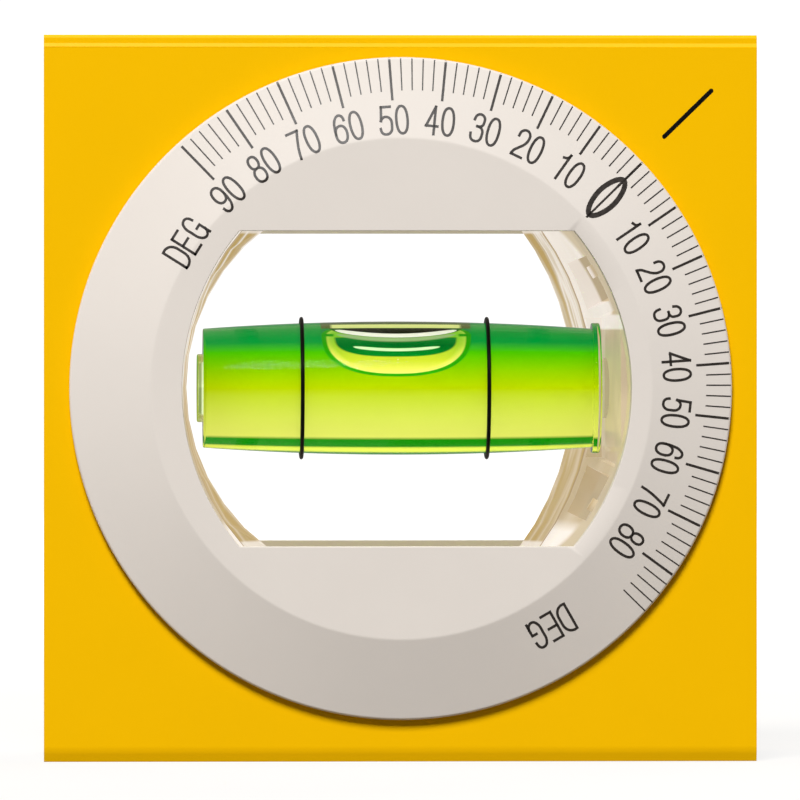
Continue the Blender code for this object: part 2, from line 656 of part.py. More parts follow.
def make_liquid_and_bubble(dial_axis, parts, cutters):
    """Liquid that fills the vial, open along its top for the bubble that runs there."""
    inset = VIAL_WALL + LIQUID_GAP
    left = -VIAL_LEFT_REACH + VIAL_PLUG_SEAT + LIQUID_GAP
    right = VIAL_RIGHT_REACH - FLANGE_THICKNESS - VIAL_END_WALL - LIQUID_GAP
    profile = [(0, right), *barrel_profile(right, left, inset), (0, left)]
    liquid = turned("vial_liquid", profile, VIAL_SEGMENTS, parts, "vial_liquid")
    place(liquid, dial_axis, rotation=ALONG_VIAL)

    top = VIAL_RADIUS - VIAL_WALL - BUBBLE_TOP_GAP
    height = top - BUBBLE_DEPTH / 2
    bubble = stretched_ellipsoid(
        "air_bubble", (BUBBLE_LENGTH / 2, BUBBLE_WIDTH / 2, BUBBLE_DEPTH / 2), 0, parts, "air")
    place(bubble, dial_axis, location=(0, 0, height))
    settle(bubble)

    clearances = (CHANNEL_CLEARANCE, CHANNEL_CLEARANCE, CHANNEL_CLEARANCE + CHANNEL_BREAKOUT / 2)
    bubble_axes = (BUBBLE_LENGTH / 2, BUBBLE_WIDTH / 2, BUBBLE_DEPTH / 2)
    channel_axes = [axis + clearance for axis, clearance in zip(bubble_axes, clearances)]
    channel = stretched_ellipsoid("bubble_channel", channel_axes, BUBBLE_TRAVEL, cutters)
    place(channel, dial_axis, location=(0, 0, height + CHANNEL_BREAKOUT / 2))
    cut(liquid, channel)
    settle(liquid)


def add_ring(name, radius, wire_radius, segments, collection, finish):
    """Round ring about local Z, of round wire."""
    profile = arc((radius, 0), wire_radius, 0, -2 * math.pi, WIRE_SEGMENTS)[:-1]
    return turned(name, profile, segments, collection, finish, closed=True)


def make_mark_ring(name, direction, dial_axis, parts):
    """Black ring round the vial that the bubble is read against."""
    radius = barrel_radius(MARK_REACH) + MARK_SEAT_GAP + MARK_WIRE_RADIUS
    ring = add_ring(name, radius, MARK_WIRE_RADIUS, VIAL_SEGMENTS, parts, "rubber")
    settle(place(ring, dial_axis, (direction * MARK_REACH, 0, 0), ALONG_VIAL))


def make_friction_ring(name, direction, dial_axis, parts):
    """Elastic ring in the groove of a dial, against the side of the body."""
    ring = add_ring(name, FRICTION_RING_RADIUS, FRICTION_WIRE_RADIUS, DIAL_SEGMENTS,
                    parts, "rubber")
    settle(place(ring, dial_axis, (0, direction * FRICTION_HEIGHT, 0), FACE_FRONT))


def make_dial_pins(dial_axis, parts):
    """Four pins through the carrier, with chamfered ends in the backs of both dials."""
    half_length = DISC_BACK + PIN_SEAT
    shoulder = half_length - PIN_CHAMFER
    profile = [(0, half_length), (PIN_RADIUS - PIN_CHAMFER, half_length), (PIN_RADIUS, shoulder),
               (PIN_RADIUS, -shoulder), (PIN_RADIUS - PIN_CHAMFER, -half_length),
               (0, -half_length)]
    for number, centre in enumerate(pin_places(), start=1):
        pin = turned(f"dial_pin_{number}", profile, PIN_SEGMENTS, parts, "plated_steel")
        settle(place(pin, dial_axis, (centre.x, 0, centre.y), FACE_FRONT))


def make_level():
    """Make every piece of the level."""
    clear_scene()
    parts = new_collection("compact_magnetic_level")
    cutters = new_collection("cutters")
    for name, values in FINISHES.items():
        make_material(name, **values)
    dial_axis = bpy.data.objects.new("dial_axis", None)
    parts.objects.link(dial_axis)
    dial_axis.location = (0, 0, DIAL_HEIGHT)

    make_box_profile(parts, cutters)
    for side_name, direction in (("left", -1), ("right", 1)):
        make_end_plug(side_name + "_end_plug", direction, parts, cutters)
        make_magnet(side_name, direction, parts)
        make_mark_ring(side_name + "_mark_ring", direction, dial_axis, parts)
    for side_name, direction, rotation in (("front", -1, FACE_FRONT), ("rear", 1, FACE_REAR)):
        make_dial(side_name + "_dial", rotation, dial_axis, parts, cutters)
        make_friction_ring(side_name + "_friction_ring", direction, dial_axis, parts)
    make_vial_carrier(dial_axis, parts, cutters)
    make_vial(dial_axis, parts)
    make_liquid_and_bubble(dial_axis, parts, cutters)
    make_dial_pins(dial_axis, parts)


make_level()
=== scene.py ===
"""Looks of a compact magnetic level with a turning angle dial round a bubble vial.

X runs along the level, Y from its front to its back, and Z up from the measuring base.
All lengths are in metres.
"""
import logging
import math
from dataclasses import dataclass, field
from enum import Enum
from typing import Callable, Iterable, Sequence

import bmesh
import bpy
from mathutils import Matrix, Vector


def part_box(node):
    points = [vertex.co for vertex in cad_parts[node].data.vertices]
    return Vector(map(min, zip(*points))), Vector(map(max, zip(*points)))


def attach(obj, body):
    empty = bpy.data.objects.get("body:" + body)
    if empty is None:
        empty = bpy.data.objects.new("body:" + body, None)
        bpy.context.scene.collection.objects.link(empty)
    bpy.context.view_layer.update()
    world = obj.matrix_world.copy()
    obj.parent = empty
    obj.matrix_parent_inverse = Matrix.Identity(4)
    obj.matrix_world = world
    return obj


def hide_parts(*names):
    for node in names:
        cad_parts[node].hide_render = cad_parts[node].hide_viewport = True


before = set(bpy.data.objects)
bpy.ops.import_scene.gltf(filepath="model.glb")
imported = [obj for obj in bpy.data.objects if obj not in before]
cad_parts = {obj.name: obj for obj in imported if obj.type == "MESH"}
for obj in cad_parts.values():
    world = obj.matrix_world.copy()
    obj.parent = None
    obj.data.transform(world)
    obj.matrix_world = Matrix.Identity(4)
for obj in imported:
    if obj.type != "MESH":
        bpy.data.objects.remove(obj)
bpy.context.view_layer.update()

LOG = logging.getLogger("magnetic_level")

MM = 0.001
Colour = tuple[float, float, float]
Profile = Sequence[tuple[float, float]]


class Body(Enum):
    """The bodies that pieces ride on."""

    LEVEL = "level_body"
    TURRET = "turret"
    BUBBLE = "bubble"


class Slot(Enum):
    """Names of the record's finishes, one passed with each new piece."""

    COATING = "yellow_coating"
    DIAL = "dial_plastic"
    CARRIER = "carrier_plastic"
    ACRYLIC = "vial_acrylic"
    LIQUID = "vial_liquid"
    AIR = "bubble_air"
    MARK = "mark_ring_black"


class Side(Enum):
    """The two faces of the level, with the sign of their place along Y."""

    FRONT = -1
    REAR = 1

    @property
    def turn(self) -> Matrix:
        """Turn that stands a shape modelled along local Z on this face of the level."""
        if self is Side.FRONT:
            return Matrix.Rotation(math.pi / 2, 4, "X")
        return Matrix.Rotation(math.pi, 4, "Z") @ Matrix.Rotation(math.pi / 2, 4, "X")


def paint(red: float, green: float, blue: float) -> Colour:
    """Turn a colour as it looks on a screen, 0 to 255, into the linear one of a shader.

    Args:
        red: Red as seen.
        green: Green as seen.
        blue: Blue as seen.

    Returns:
        The linear colour.
    """
    def linear(value: float) -> float:
        """Undo the screen's curve for one channel."""
        share = value / 255
        return share / 12.92 if share <= 0.04045 else ((share + 0.055) / 1.055) ** 2.4

    return linear(red), linear(green), linear(blue)


class ShaderGraph:
    """Node tree of one material, with short calls for the nodes that the finishes share."""

    def __init__(self, name: str) -> None:
        """Start a material with its own shader and output."""
        self.material = bpy.data.materials.new(name)
        self.material.use_nodes = True
        self.tree = self.material.node_tree
        self.shader = self.tree.nodes["Principled BSDF"]
        self.output = self.tree.nodes["Material Output"]

    def node(self, kind: str, **settings: object) -> bpy.types.Node:
        """Add a node and set its properties."""
        made = self.tree.nodes.new(kind)
        for name, value in settings.items():
            setattr(made, name, value)
        return made

    def feed(self, socket: bpy.types.NodeSocket, source: object) -> None:
        """Give a socket either a link from another socket or a plain value."""
        if isinstance(source, bpy.types.NodeSocket):
            self.tree.links.new(source, socket)
        elif isinstance(source, tuple) and len(source) == 3 and socket.type == "RGBA":
            socket.default_value = (*source, 1)
        else:
            socket.default_value = source

    def set(self, **values: object) -> None:
        """Set the shader's sockets, named with underscores in place of spaces."""
        for name, value in values.items():
            self.feed(self.shader.inputs[name.replace("_", " ")], value)

    def place(self, scale: Sequence[float] = (1, 1, 1), centre: Sequence[float] = (0, 0, 0),
              turn: Sequence[float] = (0, 0, 0)) -> bpy.types.NodeSocket:
        """Coordinates on the object, centred, turned and stretched.

        Args:
            scale: Stretch along each axis.
            centre: Point of the object that becomes the origin.
            turn: Angles about each axis.

        Returns:
            The vector socket.
        """
        coordinates = self.node("ShaderNodeTexCoord").outputs["Object"]
        shift = self.node("ShaderNodeVectorMath", operation="SUBTRACT")
        self.feed(shift.inputs[0], coordinates)
        shift.inputs[1].default_value = centre
        mapping = self.node("ShaderNodeMapping")
        self.feed(mapping.inputs["Vector"], shift.outputs[0])
        mapping.inputs["Scale"].default_value = scale
        mapping.inputs["Rotation"].default_value = turn
        return mapping.outputs["Vector"]

    def noise(self, vector: bpy.types.NodeSocket, scale: float, detail: float = 2,
              roughness: float = 0.5) -> bpy.types.NodeSocket:
        """Soft noise, 0 to 1, with its scale in bumps a metre."""
        made = self.node("ShaderNodeTexNoise")
        self.feed(made.inputs["Vector"], vector)
        made.inputs["Scale"].default_value = scale
        made.inputs["Detail"].default_value = detail
        made.inputs["Roughness"].default_value = roughness
        return made.outputs["Fac"]

    def maths(self, operation: str, first: object, second: object = 0.0,
              clamp: bool = False) -> bpy.types.NodeSocket:
        """Sum, product or another operation on two numbers."""
        made = self.node("ShaderNodeMath", operation=operation, use_clamp=clamp)
        self.feed(made.inputs[0], first)
        self.feed(made.inputs[1], second)
        return made.outputs[0]

    def spread(self, value: bpy.types.NodeSocket, start: tuple[float, float],
               end: tuple[float, float]) -> bpy.types.NodeSocket:
        """Map a number from one range to another, clamped."""
        made = self.node("ShaderNodeMapRange")
        self.feed(made.inputs["Value"], value)
        for name, number in zip(("From Min", "From Max", "To Min", "To Max"), (*start, *end)):
            made.inputs[name].default_value = number
        return made.outputs["Result"]

    def ramp(self, factor: bpy.types.NodeSocket, stops: Sequence[tuple[float, Colour]],
             smooth: bool = False) -> bpy.types.NodeSocket:
        """Colour that changes along a number through the given stops."""
        made = self.node("ShaderNodeValToRGB")
        made.color_ramp.interpolation = "EASE" if smooth else "LINEAR"
        elements = made.color_ramp.elements
        while len(elements) < len(stops):
            elements.new(1)
        for element, (position, colour) in zip(elements, stops):
            element.position = position
            element.color = (*colour, 1)
        self.feed(made.inputs["Fac"], factor)
        return made.outputs["Color"]

    def blend(self, factor: object, first: object, second: object) -> bpy.types.NodeSocket:
        """Mix of two colours."""
        made = self.node("ShaderNodeMix", data_type="RGBA")
        self.feed(made.inputs["Factor"], factor)
        colours = [socket for socket in made.inputs if socket.type == "RGBA"]
        self.feed(colours[0], first)
        self.feed(colours[1], second)
        return [socket for socket in made.outputs if socket.type == "RGBA"][0]

    def bump(self, height: bpy.types.NodeSocket, depth: float, strength: float = 1) -> None:
        """Give the shader a bump of the given depth in metres."""
        made = self.node("ShaderNodeBump")
        made.inputs["Strength"].default_value = strength
        made.inputs["Distance"].default_value = depth
        self.feed(made.inputs["Height"], height)
        self.feed(self.shader.inputs["Normal"], made.outputs["Normal"])


@dataclass(frozen=True)
class Finish:
    """A surface finish. Each kind dresses the shader in its own way."""

    name: str
    colour: Colour
    roughness: float
    specular: float = 0.5

    def material(self) -> bpy.types.Material:
        """Make the material on first use, and return it."""
        made = bpy.data.materials.get(self.name)
        if made is None:
            graph = ShaderGraph(self.name)
            graph.set(Base_Color=self.colour, Roughness=self.roughness)
            graph.shader.inputs["Specular IOR Level"].default_value = self.specular
            self.dress(graph)
            made = graph.material
        return made

    def dress(self, graph: ShaderGraph) -> None:
        """Add what this kind of finish has beyond its plain colour."""


@dataclass(frozen=True)
class PowderCoat(Finish):
    """Baked coating with a fine orange peel and a faint unevenness of tone."""

    peel: float = 0.004 * MM
    peel_size: float = 0.55 * MM
    unevenness: float = 0.02

    def dress(self, graph: ShaderGraph) -> None:
        """Add the peel, the tone and a little change of gloss."""
        place = graph.place()
        cloud = graph.noise(place, 90, 3)
        darker = tuple(value * (1 - self.unevenness) for value in self.colour)
        graph.set(Base_Color=graph.ramp(cloud, [(0.3, darker), (0.7, self.colour)]))
        gloss = graph.noise(place, 900, 2)
        graph.set(Roughness=graph.spread(gloss, (0.3, 0.7),
                                         (self.roughness - 0.03, self.roughness + 0.03)))
        graph.bump(graph.noise(place, 1 / self.peel_size, 2, 0.4), self.peel)


@dataclass(frozen=True)
class MilledMetal(Finish):
    """Bare metal with straight cutter marks along the level."""

    line_size: float = 0.09 * MM

    def dress(self, graph: ShaderGraph) -> None:
        """Add the cutter marks in tone, gloss and bump."""
        graph.set(Metallic=1.0)
        marks = graph.noise(graph.place(scale=(0.03, 1, 1)), 1 / self.line_size, 3, 0.6)
        darker = tuple(value * 0.8 for value in self.colour)
        graph.set(Base_Color=graph.ramp(marks, [(0.3, darker), (0.7, self.colour)]))
        graph.set(Roughness=graph.spread(marks, (0.3, 0.7),
                                         (self.roughness - 0.08, self.roughness + 0.08)))
        graph.bump(marks, 0.002 * MM)


@dataclass(frozen=True)
class PlainMetal(Finish):
    """Plated, ground or sintered metal with a fine grain."""

    grain_size: float = 0.12 * MM
    grain: float = 0.0015 * MM

    def dress(self, graph: ShaderGraph) -> None:
        """Add the grain in tone, gloss and bump."""
        graph.set(Metallic=1.0)
        place = graph.place()
        grain = graph.noise(place, 1 / self.grain_size, 3, 0.6)
        darker = tuple(value * 0.88 for value in self.colour)
        graph.set(Base_Color=graph.ramp(grain, [(0.3, darker), (0.7, self.colour)]))
        graph.set(Roughness=graph.spread(graph.noise(place, 400, 3), (0.3, 0.7),
                                         (self.roughness - 0.06, self.roughness + 0.06)))
        graph.bump(grain, self.grain)


@dataclass(frozen=True)
class MouldedPlastic(Finish):
    """Moulded plastic: a fine spark-eroded grain, soft mottling and a few dark specks."""

    grain_size: float = 0.14 * MM
    grain: float = 0.002 * MM
    mottle: float = 0.015
    speck: Colour | None = None

    def dress(self, graph: ShaderGraph) -> None:
        """Add the mottling, the specks, the change of gloss and the grain."""
        place = graph.place()
        cloud = graph.noise(place, 140, 4, 0.6)
        darker = tuple(value * (1 - self.mottle) for value in self.colour)
        colour = graph.ramp(cloud, [(0.35, darker), (0.65, self.colour)])
        if self.speck:
            dots = graph.node("ShaderNodeTexVoronoi", feature="F1")
            graph.feed(dots.inputs["Vector"], place)
            dots.inputs["Scale"].default_value = 260
            chosen = graph.maths("GREATER_THAN", dots.outputs["Color"], 0.93)
            near = graph.spread(dots.outputs["Distance"], (0.02, 0.04), (0.5, 0.0))
            colour = graph.blend(graph.maths("MULTIPLY", chosen, near), colour, self.speck)
        graph.set(Base_Color=colour)
        graph.set(Roughness=graph.spread(graph.noise(place, 700, 2), (0.3, 0.7),
                                         (self.roughness - 0.04, self.roughness + 0.04)))
        graph.bump(graph.noise(place, 1 / self.grain_size, 2, 0.5), self.grain)


@dataclass(frozen=True)
class MilkyPlastic(Finish):
    """Milky moulded plastic with gold streaks towards the back. Most of its look is a painted
    glow: emission that stands in for the light soaking through it.
    """

    axis_height: float = 30.8 * MM
    crest: float = 7.0 * MM
    tan: Colour = (0.5, 0.4, 0.25)
    gold: Colour = (0.5, 0.4, 0.25)
    low: Colour = (0.5, 0.4, 0.25)
    line: Colour = (0.2, 0.15, 0.1)
    # solid is the share of the colour kept as lit base colour; glow is painted light, an emission
    # that stands in for light soaking through the plastic
    solid: float = 0.32
    glow: float = 0.74

    def dress(self, graph: ShaderGraph) -> None:
        """Colour the front white, darker and warmer below the axis, the band behind it gold, and
        paint shade into its pockets and pad as tan.
        """
        split = graph.node("ShaderNodeSeparateXYZ")
        graph.feed(split.inputs[0], graph.place(centre=(0, 0, self.axis_height)))
        x, depth, z = split.outputs["X"], split.outputs["Y"], split.outputs["Z"]
        radius = graph.maths("SQRT", graph.maths("ADD", graph.maths("MULTIPLY", x, x),
                                                 graph.maths("MULTIPLY", z, z)))
        side = graph.maths("ABSOLUTE", z)
        right = graph.maths("GREATER_THAN", x, 0.0)
        cloud = graph.noise(graph.place(), 130, 3)
        front = graph.ramp(graph.spread(z, (-12 * MM, 12 * MM), (0, 1)),
                           [(0.0, self.colour), (0.04, self.low), (0.40, self.low),
                            (0.52, self.colour)])
        front = graph.blend(graph.spread(cloud, (0.42, 0.70), (0, 0.4)), front,
                            graph.blend(0.5, self.tan, self.colour))
        # Painted shade: the pockets and the pad on the right, deep in the carrier, are tinted tan,
        # varied in a cloud, for the shade that falls there
        pocket = graph.maths("MULTIPLY", graph.spread(radius, (18.7 * MM, 18.9 * MM), (0, 1)),
                             graph.spread(side, (6.0 * MM, 6.2 * MM), (0, 1)))
        pad = graph.maths("MULTIPLY", graph.spread(radius, (16.9 * MM, 17.0 * MM), (0, 1)),
                          graph.spread(side, (4.8 * MM, 5.0 * MM), (1, 0)))
        inner = graph.maths("MULTIPLY", right, graph.maths("MAXIMUM", pocket, pad))
        front = graph.blend(inner, front, graph.blend(graph.spread(cloud, (0.45, 0.6), (0, 1)),
                                                      self.tan, self.shade(self.tan, 0.86)))
        flow = graph.noise(graph.place(scale=(45, 420, 45)), 1.0, 2)
        low = graph.spread(z, (-3 * MM, 3 * MM), (0, 1))
        band = graph.ramp(flow, [(0.34, self.gold), (0.44, self.tan), (0.50, self.colour),
                                 (0.56, self.tan), (0.64, self.gold)])
        band = graph.blend(graph.spread(low, (0, 1), (0.6, 0.0)), band, self.gold)
        band = graph.blend(graph.spread(side, (12.9 * MM, 13.1 * MM), (0, 0.8)), band,
                           self.colour)
        behind = graph.spread(depth, (self.crest - 0.05 * MM, self.crest + 0.05 * MM), (0, 1))
        colour = graph.blend(behind, front, band)
        away = graph.maths("ABSOLUTE", graph.maths("SUBTRACT", depth, self.crest))
        colour = graph.blend(graph.spread(away, (0.10 * MM, 0.25 * MM), (0.8, 0)), colour,
                             self.line)
        # Painted glow: the colour is dimmed as base colour and given back as emission, which
        # stands in for light soaking through the plastic
        dim = graph.node("ShaderNodeMix", data_type="RGBA", blend_type="MULTIPLY")
        graph.feed(dim.inputs["Factor"], 1.0)
        sockets = [socket for socket in dim.inputs if socket.type == "RGBA"]
        graph.feed(sockets[0], colour)
        graph.feed(sockets[1], (self.solid, self.solid, self.solid))
        graph.set(Base_Color=[out for out in dim.outputs if out.type == "RGBA"][0],
                  Emission_Color=colour)
        graph.shader.inputs["Emission Strength"].default_value = self.glow

    @staticmethod
    def shade(colour: Colour, share: float) -> Colour:
        """A darker tone of a colour."""
        return tuple(part * share for part in colour)


@dataclass(frozen=True)
class PrintInk(Finish):
    """Screen-printed ink, a little uneven in tone and gloss."""

    def dress(self, graph: ShaderGraph) -> None:
        """Add the unevenness."""
        place = graph.place()
        cloud = graph.noise(place, 3000, 2)
        lighter = tuple(value * 1.6 + 0.004 for value in self.colour)
        graph.set(Base_Color=graph.ramp(cloud, [(0.35, self.colour), (0.7, lighter)]))
        graph.set(Roughness=graph.spread(cloud, (0.3, 0.7),
                                         (self.roughness - 0.05, self.roughness + 0.05)))
        graph.bump(cloud, 0.001 * MM)


@dataclass(frozen=True)
class ClearBody(Finish):
    """Clear plastic, liquid or air, with its refractive index."""

    index: float = 1.45
    mirror: float = 0.03

    def dress(self, graph: ShaderGraph) -> None:
        """Let light through, with a hardly visible waviness of the surface."""
        graph.set(Transmission_Weight=1.0, IOR=self.index,
                  Specular_Tint=(self.mirror, self.mirror, self.mirror))
        graph.bump(graph.noise(graph.place(), 500, 1), 0.001 * MM)


class Glass:
    """How a clear round rod shows what lies inside it."""

    index = 1.45

    @classmethod
    def angle_seen(cls, height: float, depth: float) -> float:
        """Angle above the rod's front at which an inner round surface is seen.

        Args:
            height: Height at which it is seen, as a share of the rod's radius.
            depth: Radius of the inner surface, as a share of the rod's.

        Returns:
            The angle in radians.
        """
        inside = height / cls.index
        return (math.asin(max(-1.0, min(1.0, inside / depth))) + math.asin(height)
                - math.asin(inside))

    @classmethod
    def height_seen(cls, angle: float, depth: float) -> float:
        """Height at which a point of an inner round surface is seen, the other way round."""
        low, high = -1.0, 1.0
        for _ in range(40):
            middle = (low + high) / 2
            if cls.angle_seen(middle, depth) < angle:
                low = middle
            else:
                high = middle
        return (low + high) / 2


@dataclass(frozen=True)
class BandedLiquid(ClearBody):
    """Green liquid with painted light and shade in bands: painted dark green shade at the top over
    a tint from lime to yellow, then a painted green shade line at its foot and a painted pale rim
    light below that.

    Each band is given by the height at which it is seen from the front, as a share of the
    vial's radius, and its colour.
    """

    axis_height: float = 30.78 * MM
    radius: float = 4.06 * MM
    depth: float = 0.729
    clearness: float = 0.30
    # painted glow: emission that evens out the liquid's shading
    glow: float = 0.55
    bands: tuple[tuple[float, Colour], ...] = ()

    def dress(self, graph: ShaderGraph) -> None:
        """Run the bands of tint and painted light and shade over the liquid's height, with a faint
        cloudiness.
        """
        super().dress(graph)
        split = graph.node("ShaderNodeSeparateXYZ")
        graph.feed(split.inputs[0], graph.place(centre=(0, 0, self.axis_height)))
        share = graph.maths("DIVIDE", split.outputs["Z"], self.radius)
        stops = []
        for height, colour in self.bands:
            angle = min(Glass.angle_seen(abs(height), self.depth), math.pi / 2)
            stops.append(((math.copysign(math.sin(angle), height) + 1) / 2, colour))
        colour = graph.ramp(graph.spread(share, (-1, 1), (0, 1)), stops)
        # The bands are given again as emission, a painted glow.
        graph.set(Base_Color=colour, Emission_Color=colour, Transmission_Weight=self.clearness)
        graph.shader.inputs["Emission Strength"].default_value = self.glow


# Painted light and shade of the liquid, as the glass would show it: a pale rim light at the bottom
# edge, a green shade line at its foot and dark green shade over the top; STRAW, LIME and
# LEAF_GREEN are the tint between
PAINTED_RIM_LIGHT = (0.9, 1.0, 0.1)
PAINTED_FOOT_SHADE = (0.0, 0.2, 0.0)
STRAW = (0.7, 0.7, 0.15)
LIME = (0.4, 0.5, 0.0)
LEAF_GREEN = (0.05, 0.45, 0.0)
PAINTED_TOP_SHADE = (0.0, 0.25, 0.05)

LIQUID_TINT_LIGHT_SHADE_BANDS = (
    (-1.0, PAINTED_RIM_LIGHT), (-0.9, PAINTED_RIM_LIGHT),
    (-0.88, PAINTED_FOOT_SHADE), (-0.77, PAINTED_FOOT_SHADE),
    (-0.73, STRAW), (0.0, LIME), (0.55, LEAF_GREEN),
    (0.7, PAINTED_TOP_SHADE), (1.0, PAINTED_TOP_SHADE),
)


@dataclass(frozen=True)
class BubblePicture(Finish):
    """What a bubble of air shows through the vial, painted in: its highlights, reflections and
    shade are dark and bright bows in a pale green rim, and the picture glows.

    It is painted over the mesh's "sight" attribute, which holds the place along the vial and
    the height at which each point is seen, both in millimetres.
    """

    def dress(self, graph: ShaderGraph) -> None:
        """Lay the bows over each other from the back to the front."""
        sight = graph.node("ShaderNodeAttribute", attribute_name="sight")
        split = graph.node("ShaderNodeSeparateXYZ")
        graph.feed(split.inputs[0], sight.outputs["Vector"])
        along, height = split.outputs["X"], split.outputs["Y"]
        side = graph.maths("ABSOLUTE", along)
        # Painted shade: dark green over the top of the bubble
        colour = graph.ramp(graph.spread(height, (3.4, 5.5), (0, 1)),
                            [(0.0, paint(0, 150, 65)), (1.0, paint(5, 130, 60))])
        upper = graph.maths("GREATER_THAN", height, 4.40)
        reach = graph.spread(upper, (0, 1), (3.37, 0.98))
        rim = self.oval(graph, along, height, (0.0, 4.40), 6.18, reach, 2.4)
        colour = graph.blend(self.inside(graph, rim, 1.01, 0.01), colour, paint(40, 157, 6))
        fill = graph.ramp(graph.spread(height, (1.1, 5.1), (0, 1)),
                          [(0.0, paint(240, 235, 110)), (0.3, paint(205, 215, 50)),
                           (0.8, paint(130, 200, 50))])
        # Painted light: the fill is lighter near the lower edge of the rim
        light = graph.maths("MULTIPLY", graph.spread(rim, (0.84, 0.93), (0, 1)),
                            graph.spread(height, (2.2, 3.6), (1, 0.25)))
        fill = graph.blend(light, fill, paint(238, 236, 112))
        colour = graph.blend(self.inside(graph, rim, 0.95, 0.02), colour, fill)
        notch = graph.maths("MULTIPLY", graph.spread(side, (5.1, 5.3), (0, 1)),
                            self.band(graph, height, 4.45, 0.08, 0.05))
        colour = graph.blend(notch, colour, paint(30, 156, 8))
        # Painted shade: the core inside the rim is dark green
        core = self.oval(graph, along, height, (-0.05, 4.24), 5.16, 1.63, 2.7)
        below = graph.spread(height, (4.22, 4.28), (1, 0))
        shade = graph.ramp(graph.spread(height, (2.6, 4.2), (0, 1)),
                           [(0.0, paint(5, 140, 40)), (0.6, paint(0, 105, 35)),
                            (1.0, paint(10, 125, 45))])
        colour = graph.blend(graph.maths("MULTIPLY", below, self.inside(graph, core, 1.0, 0.04)),
                             colour, shade)
        # Painted highlights, reflections and shade of the bubble's surface, one bow each: dark
        # green, grey green, a thin pale line, the black lens and the white crescent highlight
        for bow in (
                (paint(22, 100, 16), 4.60, 0.014, 0.42, 5.55, 0.06, 4.0),
                (paint(158, 188, 132), 4.05, 0.0185, 0.22, 5.0, 0.12, 6.0),
                (paint(214, 253, 196), 3.21, 0.0195, 0.15, 3.62, 0.06, 8.0),
                (paint(2, 20, 2), 4.74, 0.0080, 0.30, 4.6, 0.05, 2.0),
                (paint(255, 255, 248), 4.39, 0.0180, 0.185, 5.08, 0.06, 8.0)):
            colour = self.bow(graph, colour, along, height, *bow)
        # Painted shade: dark olive over the very top, with a pale painted highlight line across it
        colour = graph.blend(graph.spread(height, (4.98, 5.04), (0, 1)), colour,
                             paint(74, 96, 26))
        line = graph.maths("MULTIPLY", graph.spread(side, (5.2, 5.5), (1, 0)),
                           self.band(graph, height, 5.18, 0.12, 0.05))
        colour = graph.blend(line, colour, paint(230, 240, 152))
        # The picture is given again as emission, a painted glow.
        graph.set(Base_Color=colour, Emission_Color=colour)
        graph.shader.inputs["Emission Strength"].default_value = 0.47

    @staticmethod
    def oval(graph: ShaderGraph, along: object, height: object, middle: tuple[float, float],
             width: float, reach: object, power: float) -> bpy.types.NodeSocket:
        """Distance from an oval's middle, 1 at its edge."""
        across = graph.maths("DIVIDE", graph.maths("SUBTRACT", along, middle[0]), width)
        rise = graph.maths("DIVIDE", graph.maths("SUBTRACT", height, middle[1]), reach)
        powers = [graph.maths("POWER", graph.maths("ABSOLUTE", part), power)
                  for part in (across, rise)]
        return graph.maths("POWER", graph.maths("ADD", *powers), 1 / power)

    @staticmethod
    def band(graph: ShaderGraph, value: object, middle: float, half_width: float, blur: float
             ) -> bpy.types.NodeSocket:
        """Mask that is 1 close to a value."""
        away = graph.maths("ABSOLUTE", graph.maths("SUBTRACT", value, middle))
        return graph.spread(away, (half_width, half_width + blur), (1, 0))

    @staticmethod
    def inside(graph: ShaderGraph, distance: object, edge: float, blur: float
               ) -> bpy.types.NodeSocket:
        """Mask that is 1 within an edge."""
        return graph.spread(distance, (edge - blur, edge), (1, 0))

    @staticmethod
    def bow(graph: ShaderGraph, under: object, along: object, height: object, colour: Colour,
            middle: float, curve: float, half_width: float, reach: float, blur: float,
            blunt: float) -> bpy.types.NodeSocket:
        """Paint one bow, a curved band of painted light and shade, over a colour.

        Args:
            graph: The material's nodes.
            under: Colour beneath it.
            along: Place along the vial.
            height: Height seen.
            colour: Colour of the bow.
            middle: Its height at the bubble's middle.
            curve: How fast it rises to both ends.
            half_width: Half its width at the middle.
            reach: Half its length.
            blur: Softness of its edge.
            blunt: 2 for pointed ends, more for blunt ones.

        Returns:
            The painted colour.
        """
        square = graph.maths("MULTIPLY", along, along)
        line = graph.maths("ADD", graph.maths("MULTIPLY", square, curve), middle)
        away = graph.maths("ABSOLUTE", graph.maths("SUBTRACT", height, line))
        share = graph.maths("POWER", graph.maths("DIVIDE", square, reach ** 2), blunt / 2)
        taper = graph.maths("SQRT", graph.maths("SUBTRACT", 1.0, share, clamp=True))
        width = graph.maths("MULTIPLY", taper, half_width)
        depth = graph.maths("SUBTRACT", width, away)
        return graph.blend(graph.spread(depth, (0.0, blur), (0, 1)), under, colour)


